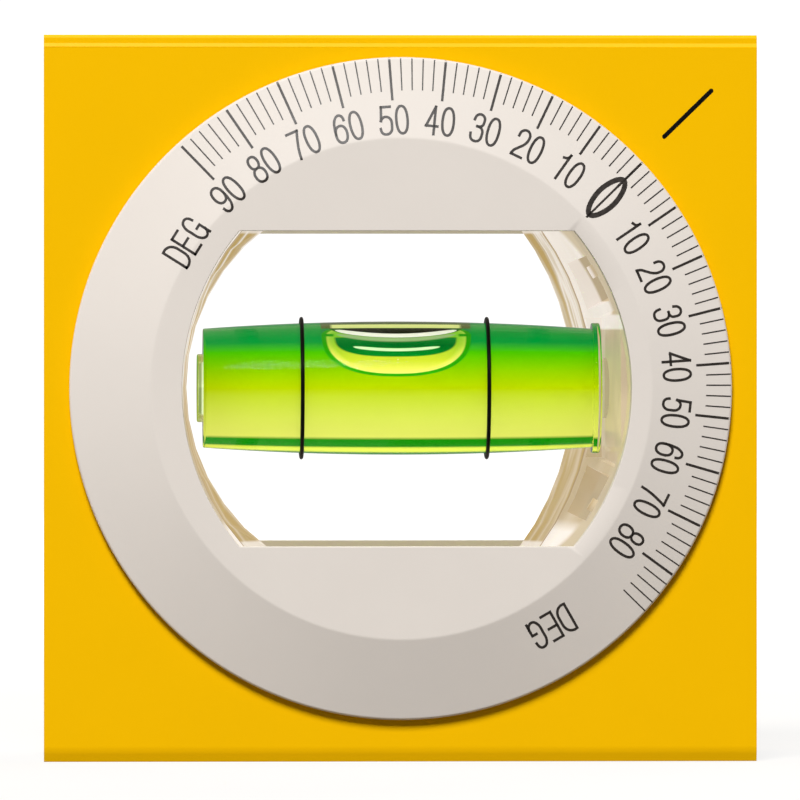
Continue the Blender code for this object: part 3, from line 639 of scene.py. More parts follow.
@dataclass(frozen=True)
class Finishes:
    """Every finish of the level."""

    coating: Finish = PowderCoat("yellow_powder_coat", paint(253, 194, 1), 0.34, specular=0.05)
    milled: Finish = MilledMetal("milled_aluminium", (0.68, 0.68, 0.69), 0.32)
    plug: Finish = MouldedPlastic("black_end_plug_plastic", (0.018, 0.018, 0.020), 0.48,
                                  grain_size=0.3 * MM, grain=0.008 * MM)
    cup: Finish = PlainMetal("nickel_plated_steel", (0.66, 0.65, 0.62), 0.22)
    magnet: Finish = PlainMetal("ground_magnet", (0.17, 0.17, 0.18), 0.42, grain=0.004 * MM)
    pin: Finish = PlainMetal("ground_pin_steel", (0.58, 0.58, 0.60), 0.28)
    dial: Finish = MouldedPlastic("off_white_dial_plastic", paint(232, 224, 216), 0.46,
                                  specular=0.06, speck=(0.30, 0.27, 0.24))
    ink: Finish = PrintInk("dark_scale_ink", (0.018, 0.013, 0.010), 0.40, specular=0.45)
    index_ink: Finish = PrintInk("black_index_ink", (0.002, 0.002, 0.002), 0.4, specular=0.06)
    carrier: Finish = MilkyPlastic("milky_carrier_plastic", paint(248, 238, 230), 0.30,
                                   specular=0.12, tan=paint(206, 188, 156),
                                   gold=paint(190, 160, 96), low=paint(196, 174, 136),
                                   line=paint(170, 142, 108))
    acrylic: Finish = ClearBody("clear_vial_acrylic", (0.93, 0.98, 0.88), 0.01, specular=0.25)
    wet_bore: Finish = ClearBody("wetted_vial_bore", (1, 1, 1), 0.0, index=1.0)
    stopper: Finish = ClearBody("green_stopper_acrylic", (0.80, 0.92, 0.52), 0.05)
    liquid: Finish = BandedLiquid("green_vial_liquid", paint(180, 210, 30), 0.0, specular=0.0,
                                  index=1.0, bands=LIQUID_TINT_LIGHT_SHADE_BANDS)
    bubble: Finish = BubblePicture("bubble_in_vial", (1, 1, 1), 0.5, specular=0.0)
    mark: Finish = MouldedPlastic("black_mark_ring", (0.002, 0.002, 0.002), 0.42,
                                  specular=0.06, grain=0.003 * MM)
    rubber: Finish = MouldedPlastic("black_friction_rubber", (0.020, 0.020, 0.020), 0.68,
                                    grain=0.006 * MM)


FINISH = Finishes()


def arc(centre: tuple[float, float], radius: float, start: float, end: float,
        steps: int) -> list[tuple[float, float]]:
    """Points of an arc.

    Args:
        centre: Middle of the arc.
        radius: Its radius.
        start: First angle in radians.
        end: Last angle in radians.
        steps: Number of chords.

    Returns:
        The points, both ends included.
    """
    angles = [start + (end - start) * step / steps for step in range(steps + 1)]
    return [(centre[0] + radius * math.cos(a), centre[1] + radius * math.sin(a)) for a in angles]


def turn_profile(profile: Profile, steps: int, matrix: Matrix, closed: bool = False
                 ) -> bmesh.types.BMesh:
    """Turn a profile about local Z into a closed shape.

    Args:
        profile: Points given as radius and height.
        steps: Number of steps round the axis.
        matrix: Where the shape stands.
        closed: Whether the profile's last point joins its first.

    Returns:
        The turned shape, with its poles closed and its faces outwards.
    """
    shape = bmesh.new()
    verts = [shape.verts.new((radius, 0, height)) for radius, height in profile]
    pairs = list(zip(verts, verts[1:]))
    if closed:
        pairs.append((verts[-1], verts[0]))
    edges = [shape.edges.new(pair) for pair in pairs]
    bmesh.ops.spin(shape, geom=verts + edges, cent=(0, 0, 0), axis=(0, 0, 1),
                   angle=2 * math.pi, steps=steps, use_merge=True, dvec=(0, 0, 0))
    bmesh.ops.remove_doubles(shape, verts=shape.verts, dist=0.0005 * MM)
    bmesh.ops.transform(shape, matrix=matrix, verts=shape.verts)
    bmesh.ops.recalc_face_normals(shape, faces=shape.faces)
    return shape


def block(low: Sequence[float], high: Sequence[float]) -> bmesh.types.BMesh:
    """Box between two opposite corners."""
    shape = bmesh.new()
    middle = (Vector(low) + Vector(high)) / 2
    size = Vector(high) - Vector(low)
    bmesh.ops.create_cube(shape, size=1,
                          matrix=Matrix.Translation(middle) @ Matrix.Diagonal((*size, 1)))
    return shape


def round_edges(shape: bmesh.types.BMesh, chosen: Callable[[bmesh.types.BMEdge], bool],
                radius: float, segments: int) -> None:
    """Round the chosen edges of a shape."""
    edges = [edge for edge in shape.edges if chosen(edge)]
    bmesh.ops.bevel(shape, geom=edges, offset=radius, offset_type="OFFSET", segments=segments,
                    profile=0.5, affect="EDGES", clamp_overlap=True, material=-1)


def slice_off(shape: bmesh.types.BMesh, point: Sequence[float], outward: Sequence[float]
              ) -> None:
    """Cut a shape at a plane, drop what lies outwards of it and close the cut."""
    cut = bmesh.ops.bisect_plane(
        shape, geom=shape.verts[:] + shape.edges[:] + shape.faces[:], plane_co=point,
        plane_no=outward, clear_outer=True)
    rim = [edge for edge in cut["geom_cut"] if isinstance(edge, bmesh.types.BMEdge)]
    bmesh.ops.contextual_create(shape, geom=rim)


def runs_along_x(edge: bmesh.types.BMEdge) -> bool:
    """Whether an edge runs along the level."""
    direction = edge.verts[1].co - edge.verts[0].co
    return abs(direction.x) > 0.99 * direction.length


@dataclass
class Ring:
    """A closed ring of points and edges in a shape."""

    verts: list[bmesh.types.BMVert]
    edges: list[bmesh.types.BMEdge]


def bridge_ready_ring(shape: bmesh.types.BMesh, count: int, order: int) -> Ring:
    """Add a unit ring that can be bridged to its neighbours before it is moved to its place.

    Args:
        shape: Mesh that gets the ring.
        count: Number of points.
        order: Its place in the stack, which keeps the bridges from twisting.

    Returns:
        The ring.
    """
    made = bmesh.ops.create_circle(shape, cap_ends=False, segments=count, radius=1,
                                   matrix=Matrix.Translation((0, 0, order)))
    known = set(made["verts"])
    edges = {edge for vert in known for edge in vert.link_edges}
    return Ring(list(made["verts"]), list(edges))


def drum(radius: float, low: float, high: float, steps: int, matrix: Matrix
         ) -> bmesh.types.BMesh:
    """Closed cylinder along local Z between two heights."""
    shape = bmesh.new()
    middle = Matrix.Translation((0, 0, (low + high) / 2))
    bmesh.ops.create_cone(shape, cap_ends=True, segments=steps, radius1=radius,
                          radius2=radius, depth=high - low, matrix=matrix @ middle)
    return shape


def temporary(name: str, shape: bmesh.types.BMesh) -> bpy.types.Object:
    """Put a shape in the scene as a helper object, and free the shape."""
    mesh = bpy.data.meshes.new(name)
    shape.to_mesh(mesh)
    shape.free()
    made = bpy.data.objects.new(name, mesh)
    bpy.context.scene.collection.objects.link(made)
    return made


def carve(base: bmesh.types.BMesh, cutters: Iterable[bmesh.types.BMesh]) -> bmesh.types.BMesh:
    """Cut closed shapes out of a closed shape.

    Args:
        base: Shape that is cut.
        cutters: Shapes that are taken out of it.

    Returns:
        What is left.
    """
    body = temporary("carved", base)
    tools = [temporary(f"cutter_{number}", cutter) for number, cutter in enumerate(cutters)]
    for tool in tools:
        cut = body.modifiers.new(tool.name, "BOOLEAN")
        cut.operation = "DIFFERENCE"
        cut.solver = "EXACT"
        cut.object = tool
    bpy.context.view_layer.update()
    evaluated = body.evaluated_get(bpy.context.evaluated_depsgraph_get())
    result = bmesh.new()
    result.from_mesh(evaluated.to_mesh())
    evaluated.to_mesh_clear()
    for helper in (body, *tools):
        mesh = helper.data
        bpy.data.objects.remove(helper)
        bpy.data.meshes.remove(mesh)
    return result


def oval(centre: tuple[float, float], reach: tuple[float, float], power: float = 2.25,
         steps: int = 36) -> list[tuple[float, float]]:
    """Points of a closed oval.

    Args:
        centre: Its middle.
        reach: Its half width and half height.
        power: 2 for an ellipse, more for a squarer oval and less for a pointed one.
        steps: Number of points.

    Returns:
        The points in order.
    """
    points = []
    for step in range(steps):
        angle = 2 * math.pi * step / steps
        cosine, sine = math.cos(angle), math.sin(angle)
        points.append((centre[0] + reach[0] * math.copysign(abs(cosine) ** (2 / power), cosine),
                       centre[1] + reach[1] * math.copysign(abs(sine) ** (2 / power), sine)))
    return points


@dataclass(frozen=True)
class Stroke:
    """One pen stroke through points, straight or smooth, open or closed."""

    points: tuple[tuple[float, float], ...]
    smooth: bool = False
    closed: bool = False

    def turned(self) -> "Stroke":
        """The same stroke turned upside down in its box."""
        return Stroke(tuple((1 - x, 1 - y) for x, y in self.points), self.smooth, self.closed)

    def placed(self, place: Callable[[float, float], tuple[float, float]]) -> "Stroke":
        """The same stroke with its points moved."""
        return Stroke(tuple(place(x, y) for x, y in self.points), self.smooth, self.closed)

    def divided(self, parts: int) -> "Stroke":
        """The same stroke, cut into short runs where it is straight, so that it can bend."""
        if self.smooth or self.closed:
            return self
        points = [self.points[0]]
        for (x, y), (next_x, next_y) in zip(self.points, self.points[1:]):
            points += [(x + (next_x - x) * part / parts, y + (next_y - y) * part / parts)
                       for part in range(1, parts + 1)]
        return Stroke(tuple(points))


def closed_oval(centre: tuple[float, float], reach: tuple[float, float]) -> Stroke:
    """Closed oval stroke of a letter."""
    return Stroke(tuple(oval(centre, reach)), closed=True)


SIX = (closed_oval((0.5, 0.31), (0.5, 0.31)),
       Stroke(((0.95, 0.80), (0.84, 0.95), (0.54, 1.0), (0.20, 0.88), (0.02, 0.58), (0.0, 0.33)),
              smooth=True))
LETTERFORMS: dict[str, tuple[Stroke, ...]] = {
    "0": (closed_oval((0.5, 0.5), (0.5, 0.5)),),
    "1": (Stroke(((0.66, 0.0), (0.66, 1.0))),
          Stroke(((0.66, 1.0), (0.56, 0.87), (0.24, 0.80)), smooth=True)),
    "2": (Stroke(((0.04, 0.72), (0.12, 0.91), (0.5, 1.0), (0.87, 0.92), (0.97, 0.73),
                  (0.82, 0.52), (0.42, 0.30), (0.12, 0.14), (0.03, 0.0)), smooth=True),
          Stroke(((0.03, 0.0), (1.0, 0.0)))),
    "3": (Stroke(((0.05, 0.77), (0.18, 0.94), (0.5, 1.0), (0.84, 0.93), (0.93, 0.76),
                  (0.82, 0.60), (0.42, 0.545)), smooth=True),
          Stroke(((0.42, 0.545), (0.86, 0.49), (1.0, 0.28), (0.86, 0.06), (0.48, 0.0),
                  (0.14, 0.06), (0.0, 0.25)), smooth=True)),
    "4": (Stroke(((0.72, 0.0), (0.72, 1.0))), Stroke(((0.72, 1.0), (0.0, 0.29))),
          Stroke(((0.0, 0.29), (1.0, 0.29)))),
    "5": (Stroke(((0.92, 1.0), (0.14, 1.0))), Stroke(((0.14, 1.0), (0.06, 0.50))),
          Stroke(((0.06, 0.50), (0.22, 0.60), (0.5, 0.64), (0.88, 0.56), (1.0, 0.32),
                  (0.86, 0.07), (0.48, 0.0), (0.12, 0.06), (0.0, 0.21)), smooth=True)),
    "6": SIX,
    "7": (Stroke(((0.0, 1.0), (1.0, 1.0))),
          Stroke(((1.0, 1.0), (0.72, 0.68), (0.48, 0.32), (0.36, 0.0)), smooth=True)),
    "8": (closed_oval((0.5, 0.765), (0.42, 0.235)), closed_oval((0.5, 0.265), (0.5, 0.265))),
    "9": tuple(stroke.turned() for stroke in SIX),
    "D": (Stroke(((0.0, 0.0), (0.0, 1.0))),
          Stroke(((0.0, 1.0), (0.42, 1.0), (0.86, 0.86), (1.0, 0.5), (0.86, 0.14), (0.42, 0.0),
                  (0.0, 0.0)), smooth=True)),
    "E": (Stroke(((0.0, 0.0), (0.0, 1.0))), Stroke(((0.0, 1.0), (0.92, 1.0))),
          Stroke(((0.0, 0.53), (0.84, 0.53))), Stroke(((0.0, 0.0), (0.96, 0.0)))),
    "G": (Stroke(((0.98, 0.76), (0.84, 0.95), (0.5, 1.0), (0.14, 0.90), (0.0, 0.5),
                  (0.12, 0.12), (0.48, 0.0), (0.86, 0.07), (1.0, 0.20)), smooth=True),
          Stroke(((1.0, 0.0), (1.0, 0.45))), Stroke(((1.0, 0.45), (0.58, 0.45)))),
}


def sweep_strokes(strokes: Iterable[Stroke], width: float) -> bpy.types.Mesh:
    """Sweep strokes of one width into closed flat ribbons, one millimetre thick.

    Args:
        strokes: Strokes in the XY plane, in metres.
        width: Width of every stroke.

    Returns:
        The mesh, which lies half above and half below the plane.
    """
    pen = bpy.data.curves.new("pen", "CURVE")
    tip = pen.splines.new("POLY")
    tip.points.add(3)
    for point, (x, y) in zip(tip.points, ((-1, -1), (1, -1), (1, 1), (-1, 1))):
        point.co = (x * width / 2, y * MM / 2, 0, 1)
    tip.use_cyclic_u = True
    path = bpy.data.curves.new("strokes", "CURVE")
    path.dimensions = "3D"
    path.twist_mode = "Z_UP"
    path.resolution_u = 6
    path.use_fill_caps = True
    path.bevel_mode = "OBJECT"
    for stroke in strokes:
        points = [Vector(point) for point in stroke.points]
        if not stroke.closed:
            points[0] += (points[0] - points[1]).normalized() * width / 2
            points[-1] += (points[-1] - points[-2]).normalized() * width / 2
        spline = path.splines.new("BEZIER" if stroke.smooth else "POLY")
        knots = spline.bezier_points if stroke.smooth else spline.points
        knots.add(len(points) - 1)
        for knot, (x, y) in zip(knots, points):
            knot.co = (x, y, 0) if stroke.smooth else (x, y, 0, 1)
            if stroke.smooth:
                knot.handle_left_type = knot.handle_right_type = "AUTO"
        spline.use_cyclic_u = stroke.closed
    tool = bpy.data.objects.new("pen", pen)
    helper = bpy.data.objects.new("strokes", path)
    for made in (tool, helper):
        bpy.context.scene.collection.objects.link(made)
    path.bevel_object = tool
    bpy.context.view_layer.update()
    evaluated = helper.evaluated_get(bpy.context.evaluated_depsgraph_get())
    mesh = bpy.data.meshes.new_from_object(evaluated)
    for made, data in ((helper, path), (tool, pen)):
        bpy.data.objects.remove(made)
        bpy.data.curves.remove(data)
    return mesh


@dataclass
class PieceMaker:
    """Turns finished shapes into the level's visible pieces and keeps their names."""

    made: list[str] = field(default_factory=list)

    def add(self, name: str, shape: bmesh.types.BMesh, body: Body, slot: Slot,
            finishes: Sequence[Finish], replaces: Sequence[str] = (),
            smooth_angle: float = 35) -> bpy.types.Object:
        """Make a piece from a shape.

        Args:
            name: Name of the piece.
            shape: Its mesh, which is freed.
            body: The body it rides on.
            slot: The record's finish for it; not used.
            finishes: Its materials, in the order of the faces' material indices.
            replaces: Nodes that it stands for.
            smooth_angle: Edges sharper than this, in degrees, stay crisp.

        Returns:
            The object.
        """
        mesh = bpy.data.meshes.new(name)
        shape.to_mesh(mesh)
        shape.free()
        mesh.shade_smooth()
        mesh.set_sharp_from_angle(angle=math.radians(smooth_angle))
        for finish in finishes:
            mesh.materials.append(finish.material())
        piece = bpy.data.objects.new(name, mesh)
        bpy.context.scene.collection.objects.link(piece)
        level = piece.modifiers.new("level_flats", "WEIGHTED_NORMAL")
        level.keep_sharp = True
        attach(piece, body.value)
        if replaces:
            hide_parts(*replaces)
        self.made.append(name)
        LOG.info("%s: %d faces, rides on %s", name, len(mesh.polygons), body.value)
        return piece

    def dress_node(self, node: str, finish: Finish) -> None:
        """Give a carried-over node its material."""
        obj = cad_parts[node]
        for material_slot in obj.material_slots:
            material_slot.material = finish.material()
        LOG.info("%s: dressed as %s", node, finish.name)


@dataclass
class BodySection:
    """The coated box section with its milled base, its bores and its index mark."""

    maker: PieceMaker
    side_wall: float = 2.0 * MM
    top_wall: float = 2.4 * MM
    base_wall: float = 4.0 * MM
    lead_height: float = 0.95 * MM
    lead_tilt: float = math.radians(16)
    step_height: float = 1.0 * MM
    step_depth: float = 0.15 * MM
    step_tilt: float = math.radians(26)
    edge_radius: float = 0.3 * MM
    inner_radius: float = 1.5 * MM
    milled_depth: float = 0.25 * MM
    end_chamfer: float = 0.12 * MM
    film: float = 0.01 * MM
    bore_radius: float = 24.45 * MM
    dial_height: float = 30.8 * MM
    seat_radius: float = 6.6 * MM
    magnet_reach: float = 17.0 * MM
    index_start: tuple[float, float] = (21.78 * MM, 51.62 * MM)
    index_end: tuple[float, float] = (25.67 * MM, 55.41 * MM)
    index_width: float = 0.36 * MM
    index_thickness: float = 0.02 * MM

    def build(self) -> None:
        """Make the section and its index mark, and dress what sits in it."""
        self.build_section()
        self.build_index_mark()
        for name in ("left", "right"):
            self.maker.dress_node(f"{name}_end_plug", FINISH.plug)
            self.maker.dress_node(f"{name}_magnet_cup", FINISH.cup)
            self.maker.dress_node(f"{name}_magnet", FINISH.magnet)

    def build_section(self) -> None:
        """Make the drawn section: outer skin, hollow, bores and magnet seats."""
        low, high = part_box("box_profile")
        outer = block((low.x, low.y, low.z - self.milled_depth), high)
        steps = []
        for side in (low.y, high.y):
            slice_off(outer, (0, side, low.z + self.lead_height),
                      (0, math.copysign(math.cos(self.lead_tilt), side),
                       -math.sin(self.lead_tilt)))
            step = block((low.x - MM, side - MM, high.z - self.step_height),
                         (high.x + MM, side + MM, high.z + MM))
            slice_off(step, (0, side - math.copysign(self.step_depth, side), 0),
                      (0, math.copysign(1, -side), 0))
            slice_off(step, (0, side, high.z - self.step_height),
                      (0, math.copysign(math.cos(self.step_tilt), -side),
                       -math.sin(self.step_tilt)))
            steps.append(step)
        outer = carve(outer, steps)
        foot = high.z - self.step_height
        round_edges(outer, lambda edge: runs_along_x(edge)
                    and not foot - self.end_chamfer < edge.verts[0].co.z < high.z - self.film,
                    self.edge_radius, 5)
        slice_off(outer, low, (0, 0, -1))
        end = high.x - 0.001 * MM
        round_edges(outer, lambda edge: all(abs(vert.co.x) > end for vert in edge.verts),
                    self.end_chamfer, 2)
        hollow = block((low.x - MM, low.y + self.side_wall, low.z + self.base_wall),
                       (high.x + MM, high.y - self.side_wall, high.z - self.top_wall))
        round_edges(hollow, runs_along_x, self.inner_radius, 6)
        centre = Matrix.Translation((0, 0, self.dial_height))
        bore = drum(self.bore_radius, low.y - MM, high.y + MM, 192, centre @ Side.FRONT.turn)
        seats = [drum(self.seat_radius, -MM, self.base_wall + MM, 96,
                      Matrix.Translation((sign * self.magnet_reach, 0, 0))) for sign in (-1, 1)]
        section = carve(outer, [hollow, bore, *seats])
        for face in section.faces:
            middle = face.calc_center_median()
            base = face.normal.z < -0.9 and middle.z < 0.05 * MM
            end_cut = abs(face.normal.x) > 0.9
            seat = middle.z < self.base_wall - 0.1 * MM and abs(middle.y) < self.seat_radius and (
                abs(face.normal.z) < 0.1)
            face.material_index = 1 if base or end_cut or seat else 0
        self.maker.add("coated_box_section", section, Body.LEVEL, Slot.COATING,
                       [FINISH.coating, FINISH.milled], ["box_profile"], 30)

    def build_index_mark(self) -> None:
        """Make the printed mark on the front that the scale is read against."""
        start, end = Vector(self.index_start), Vector(self.index_end)
        run = end - start
        shape = bmesh.new()
        bmesh.ops.create_circle(shape, cap_ends=True, segments=32, radius=self.index_width / 2)
        for vert in shape.verts:
            vert.co.x += math.copysign(run.length / 2, vert.co.x)
        made = bmesh.ops.extrude_face_region(shape, geom=shape.faces[:])
        raised = [item for item in made["geom"] if isinstance(item, bmesh.types.BMVert)]
        bmesh.ops.translate(shape, verts=raised, vec=(0, 0, self.index_thickness))
        bmesh.ops.recalc_face_normals(shape, faces=shape.faces)
        middle = (start + end) / 2
        low, _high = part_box("box_profile")
        matrix = (Matrix.Translation((middle.x, low.y, middle.y)) @ Side.FRONT.turn
                  @ Matrix.Rotation(math.atan2(run.y, run.x), 4, "Z"))
        bmesh.ops.transform(shape, matrix=matrix, verts=shape.verts)
        self.maker.add("index_mark", shape, Body.LEVEL, Slot.MARK, [FINISH.index_ink])


@dataclass
class AngleDial:
    """One of the two dials: the moulded plate with its hub, and the scale printed on it."""

    maker: PieceMaker
    side: Side
    axis_height: float = 30.8 * MM
    rim_radius: float = 27.35 * MM
    scale_inner_radius: float = 20.65 * MM
    rim_edge: float = 0.3 * MM
    face: float = 13.685 * MM
    rim_top: float = 11.84 * MM
    underside: float = 11.3 * MM
    disc_back: float = 11.9 * MM
    groove_outer: float = 25.7 * MM
    groove_inner: float = 24.6 * MM
    groove_top: float = 12.0 * MM
    hub_radius: float = 24.3 * MM
    hub_inner: float = 22.7 * MM
    hub_end: float = 0.15 * MM
    window_left: float = 18.07 * MM
    window_right: float = 18.95 * MM
    window_half_height: float = 13.0 * MM
    window_radius: float = 20.2 * MM
    window_edge: float = 0.1 * MM
    steps: int = 360
    print_offset: tuple[float, float] = (0.88 * MM, 0.30 * MM)
    print_turn: float = math.radians(-1.04)
    zero_angle: float = math.radians(45)
    tick_outer: float = 27.24 * MM
    tick_limit: float = 27.20 * MM
    short_tick_inner: float = 24.35 * MM
    long_tick_inner: float = 23.62 * MM
    short_tick_width: float = 0.11 * MM
    long_tick_width: float = 0.21 * MM
    numeral_radius: float = 21.87 * MM
    letter_box: tuple[float, float] = (0.93 * MM, 2.27 * MM)
    letter_pitch: float = 1.32 * MM
    letter_stroke: float = 0.22 * MM
    zero_radius: float = 22.28 * MM
    zero_reach: tuple[float, float] = (2.03 * MM, 0.82 * MM)
    zero_stroke: float = 0.43 * MM
    zero_line: float = 0.18 * MM
    ink_thickness: float = 0.015 * MM

    @property
    def name(self) -> str:
        """Which dial this is."""
        return "front" if self.side is Side.FRONT else "rear"

    @property
    def stand(self) -> Matrix:
        """Where the dial's own plane stands in the level."""
        return Matrix.Translation((0, 0, self.axis_height)) @ self.side.turn

    def build(self) -> None:
        """Make the dial and its print."""
        self.build_plate()
        self.build_print()

    def window_reach(self, angle: float) -> float:
        """Distance from the axis to the window's edge at an angle."""
        mirror = 1 if self.side is Side.FRONT else -1
        cosine, sine = math.cos(angle) * mirror, math.sin(angle)
        reach = []
        if abs(sine) > 1e-6:
            reach.append(self.window_half_height / abs(sine))
        for centre in (self.window_right - self.window_radius,
                       self.window_radius - self.window_left):
            reach.append(centre * cosine
                         + math.sqrt(self.window_radius ** 2 - (centre * sine) ** 2))
        return min(reach)

    def ring_angles(self) -> list[float]:
        """Angles of the dial's rings, with one at each corner of the window."""
        mirror = 1 if self.side is Side.FRONT else -1
        span = math.sqrt(self.window_radius ** 2 - self.window_half_height ** 2)
        right = self.window_right - self.window_radius + span
        left = self.window_radius - self.window_left - span
        corners = [math.atan2(sign * self.window_half_height, mirror * x) % (2 * math.pi)
                   for x in (right, left) for sign in (1, -1)]
        even = [2 * math.pi * step / self.steps for step in range(self.steps)]
        spare = 0.3 * 2 * math.pi / self.steps
        kept = [a for a in even if all(abs(a - corner) > spare for corner in corners)]
        return sorted(kept + corners)

    def build_plate(self) -> None:
        """Make the plate and hub from rings that run from the window out and back again."""
        angles = self.ring_angles()
        rim = arc((self.rim_radius - self.rim_edge, self.rim_top - self.rim_edge),
                  self.rim_edge, math.pi / 2, 0, 6)
        crest = 0.12 * MM
        slope = (self.face - self.rim_top) / (self.rim_radius - self.rim_edge
                                              - self.scale_inner_radius)
        edge = self.window_edge
        window_rings = [(0.0, self.disc_back), (0.0, self.face - edge),
                        (0.3 * edge, self.face - 0.3 * edge), (edge, self.face)]
        round_rings = [
            (self.scale_inner_radius - crest, self.face),
            (self.scale_inner_radius, self.face - 0.25 * slope * crest),
            (self.scale_inner_radius + crest, self.face - slope * crest), *rim,
            (self.rim_radius, self.underside), (self.groove_outer, self.underside),
            (self.groove_outer, self.groove_top), (self.groove_inner, self.groove_top),
            (self.groove_inner, self.underside), (self.hub_radius, self.underside),
            (self.hub_radius, self.hub_end), (self.hub_inner, self.hub_end),
            (self.hub_inner, self.disc_back)]
        rings = [(lambda a, inset=inset: self.window_reach(a) + inset, height)
                 for inset, height in window_rings]
        rings += [(lambda a, radius=radius: radius, height) for radius, height in round_rings]
        shape = bmesh.new()
        loops = [bridge_ready_ring(shape, len(angles), order) for order in range(len(rings))]
        for inner, outer in zip(loops, loops[1:] + loops[:1]):
            bmesh.ops.bridge_loops(shape, edges=inner.edges + outer.edges)
        for loop, (reach, height) in zip(loops, rings):
            for vert, angle in zip(loop.verts, angles):
                distance = reach(angle)
                vert.co = (distance * math.cos(angle), distance * math.sin(angle), height)
        bmesh.ops.transform(shape, matrix=self.stand, verts=shape.verts)
        bmesh.ops.recalc_face_normals(shape, faces=shape.faces)
        self.maker.add(f"{self.name}_scale_dial", shape, Body.TURRET, Slot.DIAL, [FINISH.dial],
                       [f"{self.name}_dial"], 40)

    def surface(self, x: float, y: float) -> float:
        """Height of the dial's surface at a point of its plane."""
        outer = self.rim_radius - self.rim_edge
        radius = min(math.hypot(x, y), self.rim_radius - 0.01 * MM)
        if radius > outer:
            return (self.rim_top - self.rim_edge
                    + math.sqrt(self.rim_edge ** 2 - (radius - outer) ** 2))
        share = max(0.0, radius - self.scale_inner_radius) / (outer - self.scale_inner_radius)
        return self.face - share * (self.face - self.rim_top)

    def build_print(self) -> None:
        """Print the ticks, the numerals, the zero mark and the unit on the scale."""
        long_ticks = [self.tick(value) for value in range(-80, 91, 10)]
        short_ticks = [self.tick(value) for value in range(-88, 90, 2) if value % 10]
        numerals = [stroke for tens in range(-8, 10) if tens
                    for stroke in self.letters(str(10 * abs(tens)), 10 * tens,
                                               self.numeral_radius)]
        words = [stroke for value, radius in ((103.7, 22.0 * MM), (-103.9, 23.0 * MM))
                 for stroke in self.letters("DEG", value, radius)]
        shape = bmesh.new()
        for strokes, width in ((long_ticks, self.long_tick_width),
                               (short_ticks, self.short_tick_width),
                               (numerals + words, self.letter_stroke),
                               ([self.zero_oval()], self.zero_stroke),
                               ([self.zero_tick()], self.zero_line)):
            mesh = sweep_strokes(strokes, width)
            shape.from_mesh(mesh)
            bpy.data.meshes.remove(mesh)
        for vert in shape.verts:
            rise = 0.8 if vert.co.z > 0 else -0.2
            vert.co.z = self.surface(vert.co.x, vert.co.y) + rise * self.ink_thickness
        bmesh.ops.transform(shape, matrix=self.stand, verts=shape.verts)
        bmesh.ops.recalc_face_normals(shape, faces=shape.faces)
        self.maker.add(f"{self.name}_scale_print", shape, Body.TURRET, Slot.MARK, [FINISH.ink])

    def scale_angle(self, degrees: float) -> float:
        """Angle in the dial's plane of a value of the scale, counted to the left of zero."""
        return self.zero_angle + self.print_turn + math.radians(degrees)

    def radial_line(self, degrees: float, inner: float) -> Stroke:
        """Line of the scale from a radius out over the dial's edge."""
        angle = self.scale_angle(degrees)
        centre = Vector(self.print_offset)
        direction = Vector((math.cos(angle), math.sin(angle)))
        across = centre.dot(direction)

        def reach(radius: float) -> float:
            """Distance from the print's centre at which the line passes a radius."""
            return -across + math.sqrt(across ** 2 - centre.length_squared + radius ** 2)

        outer = self.rim_radius - self.rim_edge
        bends = (self.scale_inner_radius, 0.5 * (self.scale_inner_radius + outer), outer,
                 outer + 0.1 * MM, outer + 0.16 * MM)
        end = min(self.tick_outer, reach(self.tick_limit))
        stops = [inner, *(reach(bend) for bend in bends if inner < reach(bend) < end), end]
        return Stroke(tuple(tuple(centre + stop * direction) for stop in stops))

    def tick(self, degrees: int) -> Stroke:
        """Short or long line of the scale."""
        return self.radial_line(degrees, self.short_tick_inner if degrees % 10
                                else self.long_tick_inner)

    def seat(self, degrees: float, radius: float) -> Callable[[float, float],
                                                              tuple[float, float]]:
        """How a point of upright lettering moves to its place on the scale.

        Args:
            degrees: Value of the scale that the lettering stands at.
            radius: Distance of its middle from the print's centre.

        Returns:
            The move.
        """
        angle = self.scale_angle(degrees)
        outwards = Vector((math.cos(angle), math.sin(angle)))
        along = Vector((outwards.y, -outwards.x))

        def place(x: float, y: float) -> tuple[float, float]:
            """Move one point."""
            return tuple(Vector(self.print_offset) + (radius + y) * outwards + x * along)

        return place

    def letters(self, text: str, degrees: float, radius: float) -> list[Stroke]:
        """Strokes of a numeral or word with its top outwards.

        Args:
            text: What is printed.
            degrees: Its place on the scale.
            radius: Its middle's distance from the print's centre.

        Returns:
            The strokes in the dial's plane.
        """
        width, height = self.letter_box
        place = self.seat(degrees, radius)
        strokes = []
        for order, letter in enumerate(text):
            middle = (order - (len(text) - 1) / 2) * self.letter_pitch
            strokes += [stroke.divided(8).placed(lambda x, y, middle=middle: place(
                middle + (x - 0.5) * width, (y - 0.5) * height))
                for stroke in LETTERFORMS[letter]]
        return strokes

    def zero_oval(self) -> Stroke:
        """Pointed oval that marks the zero."""
        length, width = self.zero_reach
        points = oval((0, 0), (width, length), 1.8, 64)
        return Stroke(tuple(points), closed=True).placed(self.seat(0, self.zero_radius))

    def zero_tick(self) -> Stroke:
        """Line through the oval, which runs out to the edge."""
        return self.radial_line(0, self.zero_radius - self.zero_reach[0] - 0.25 * MM)


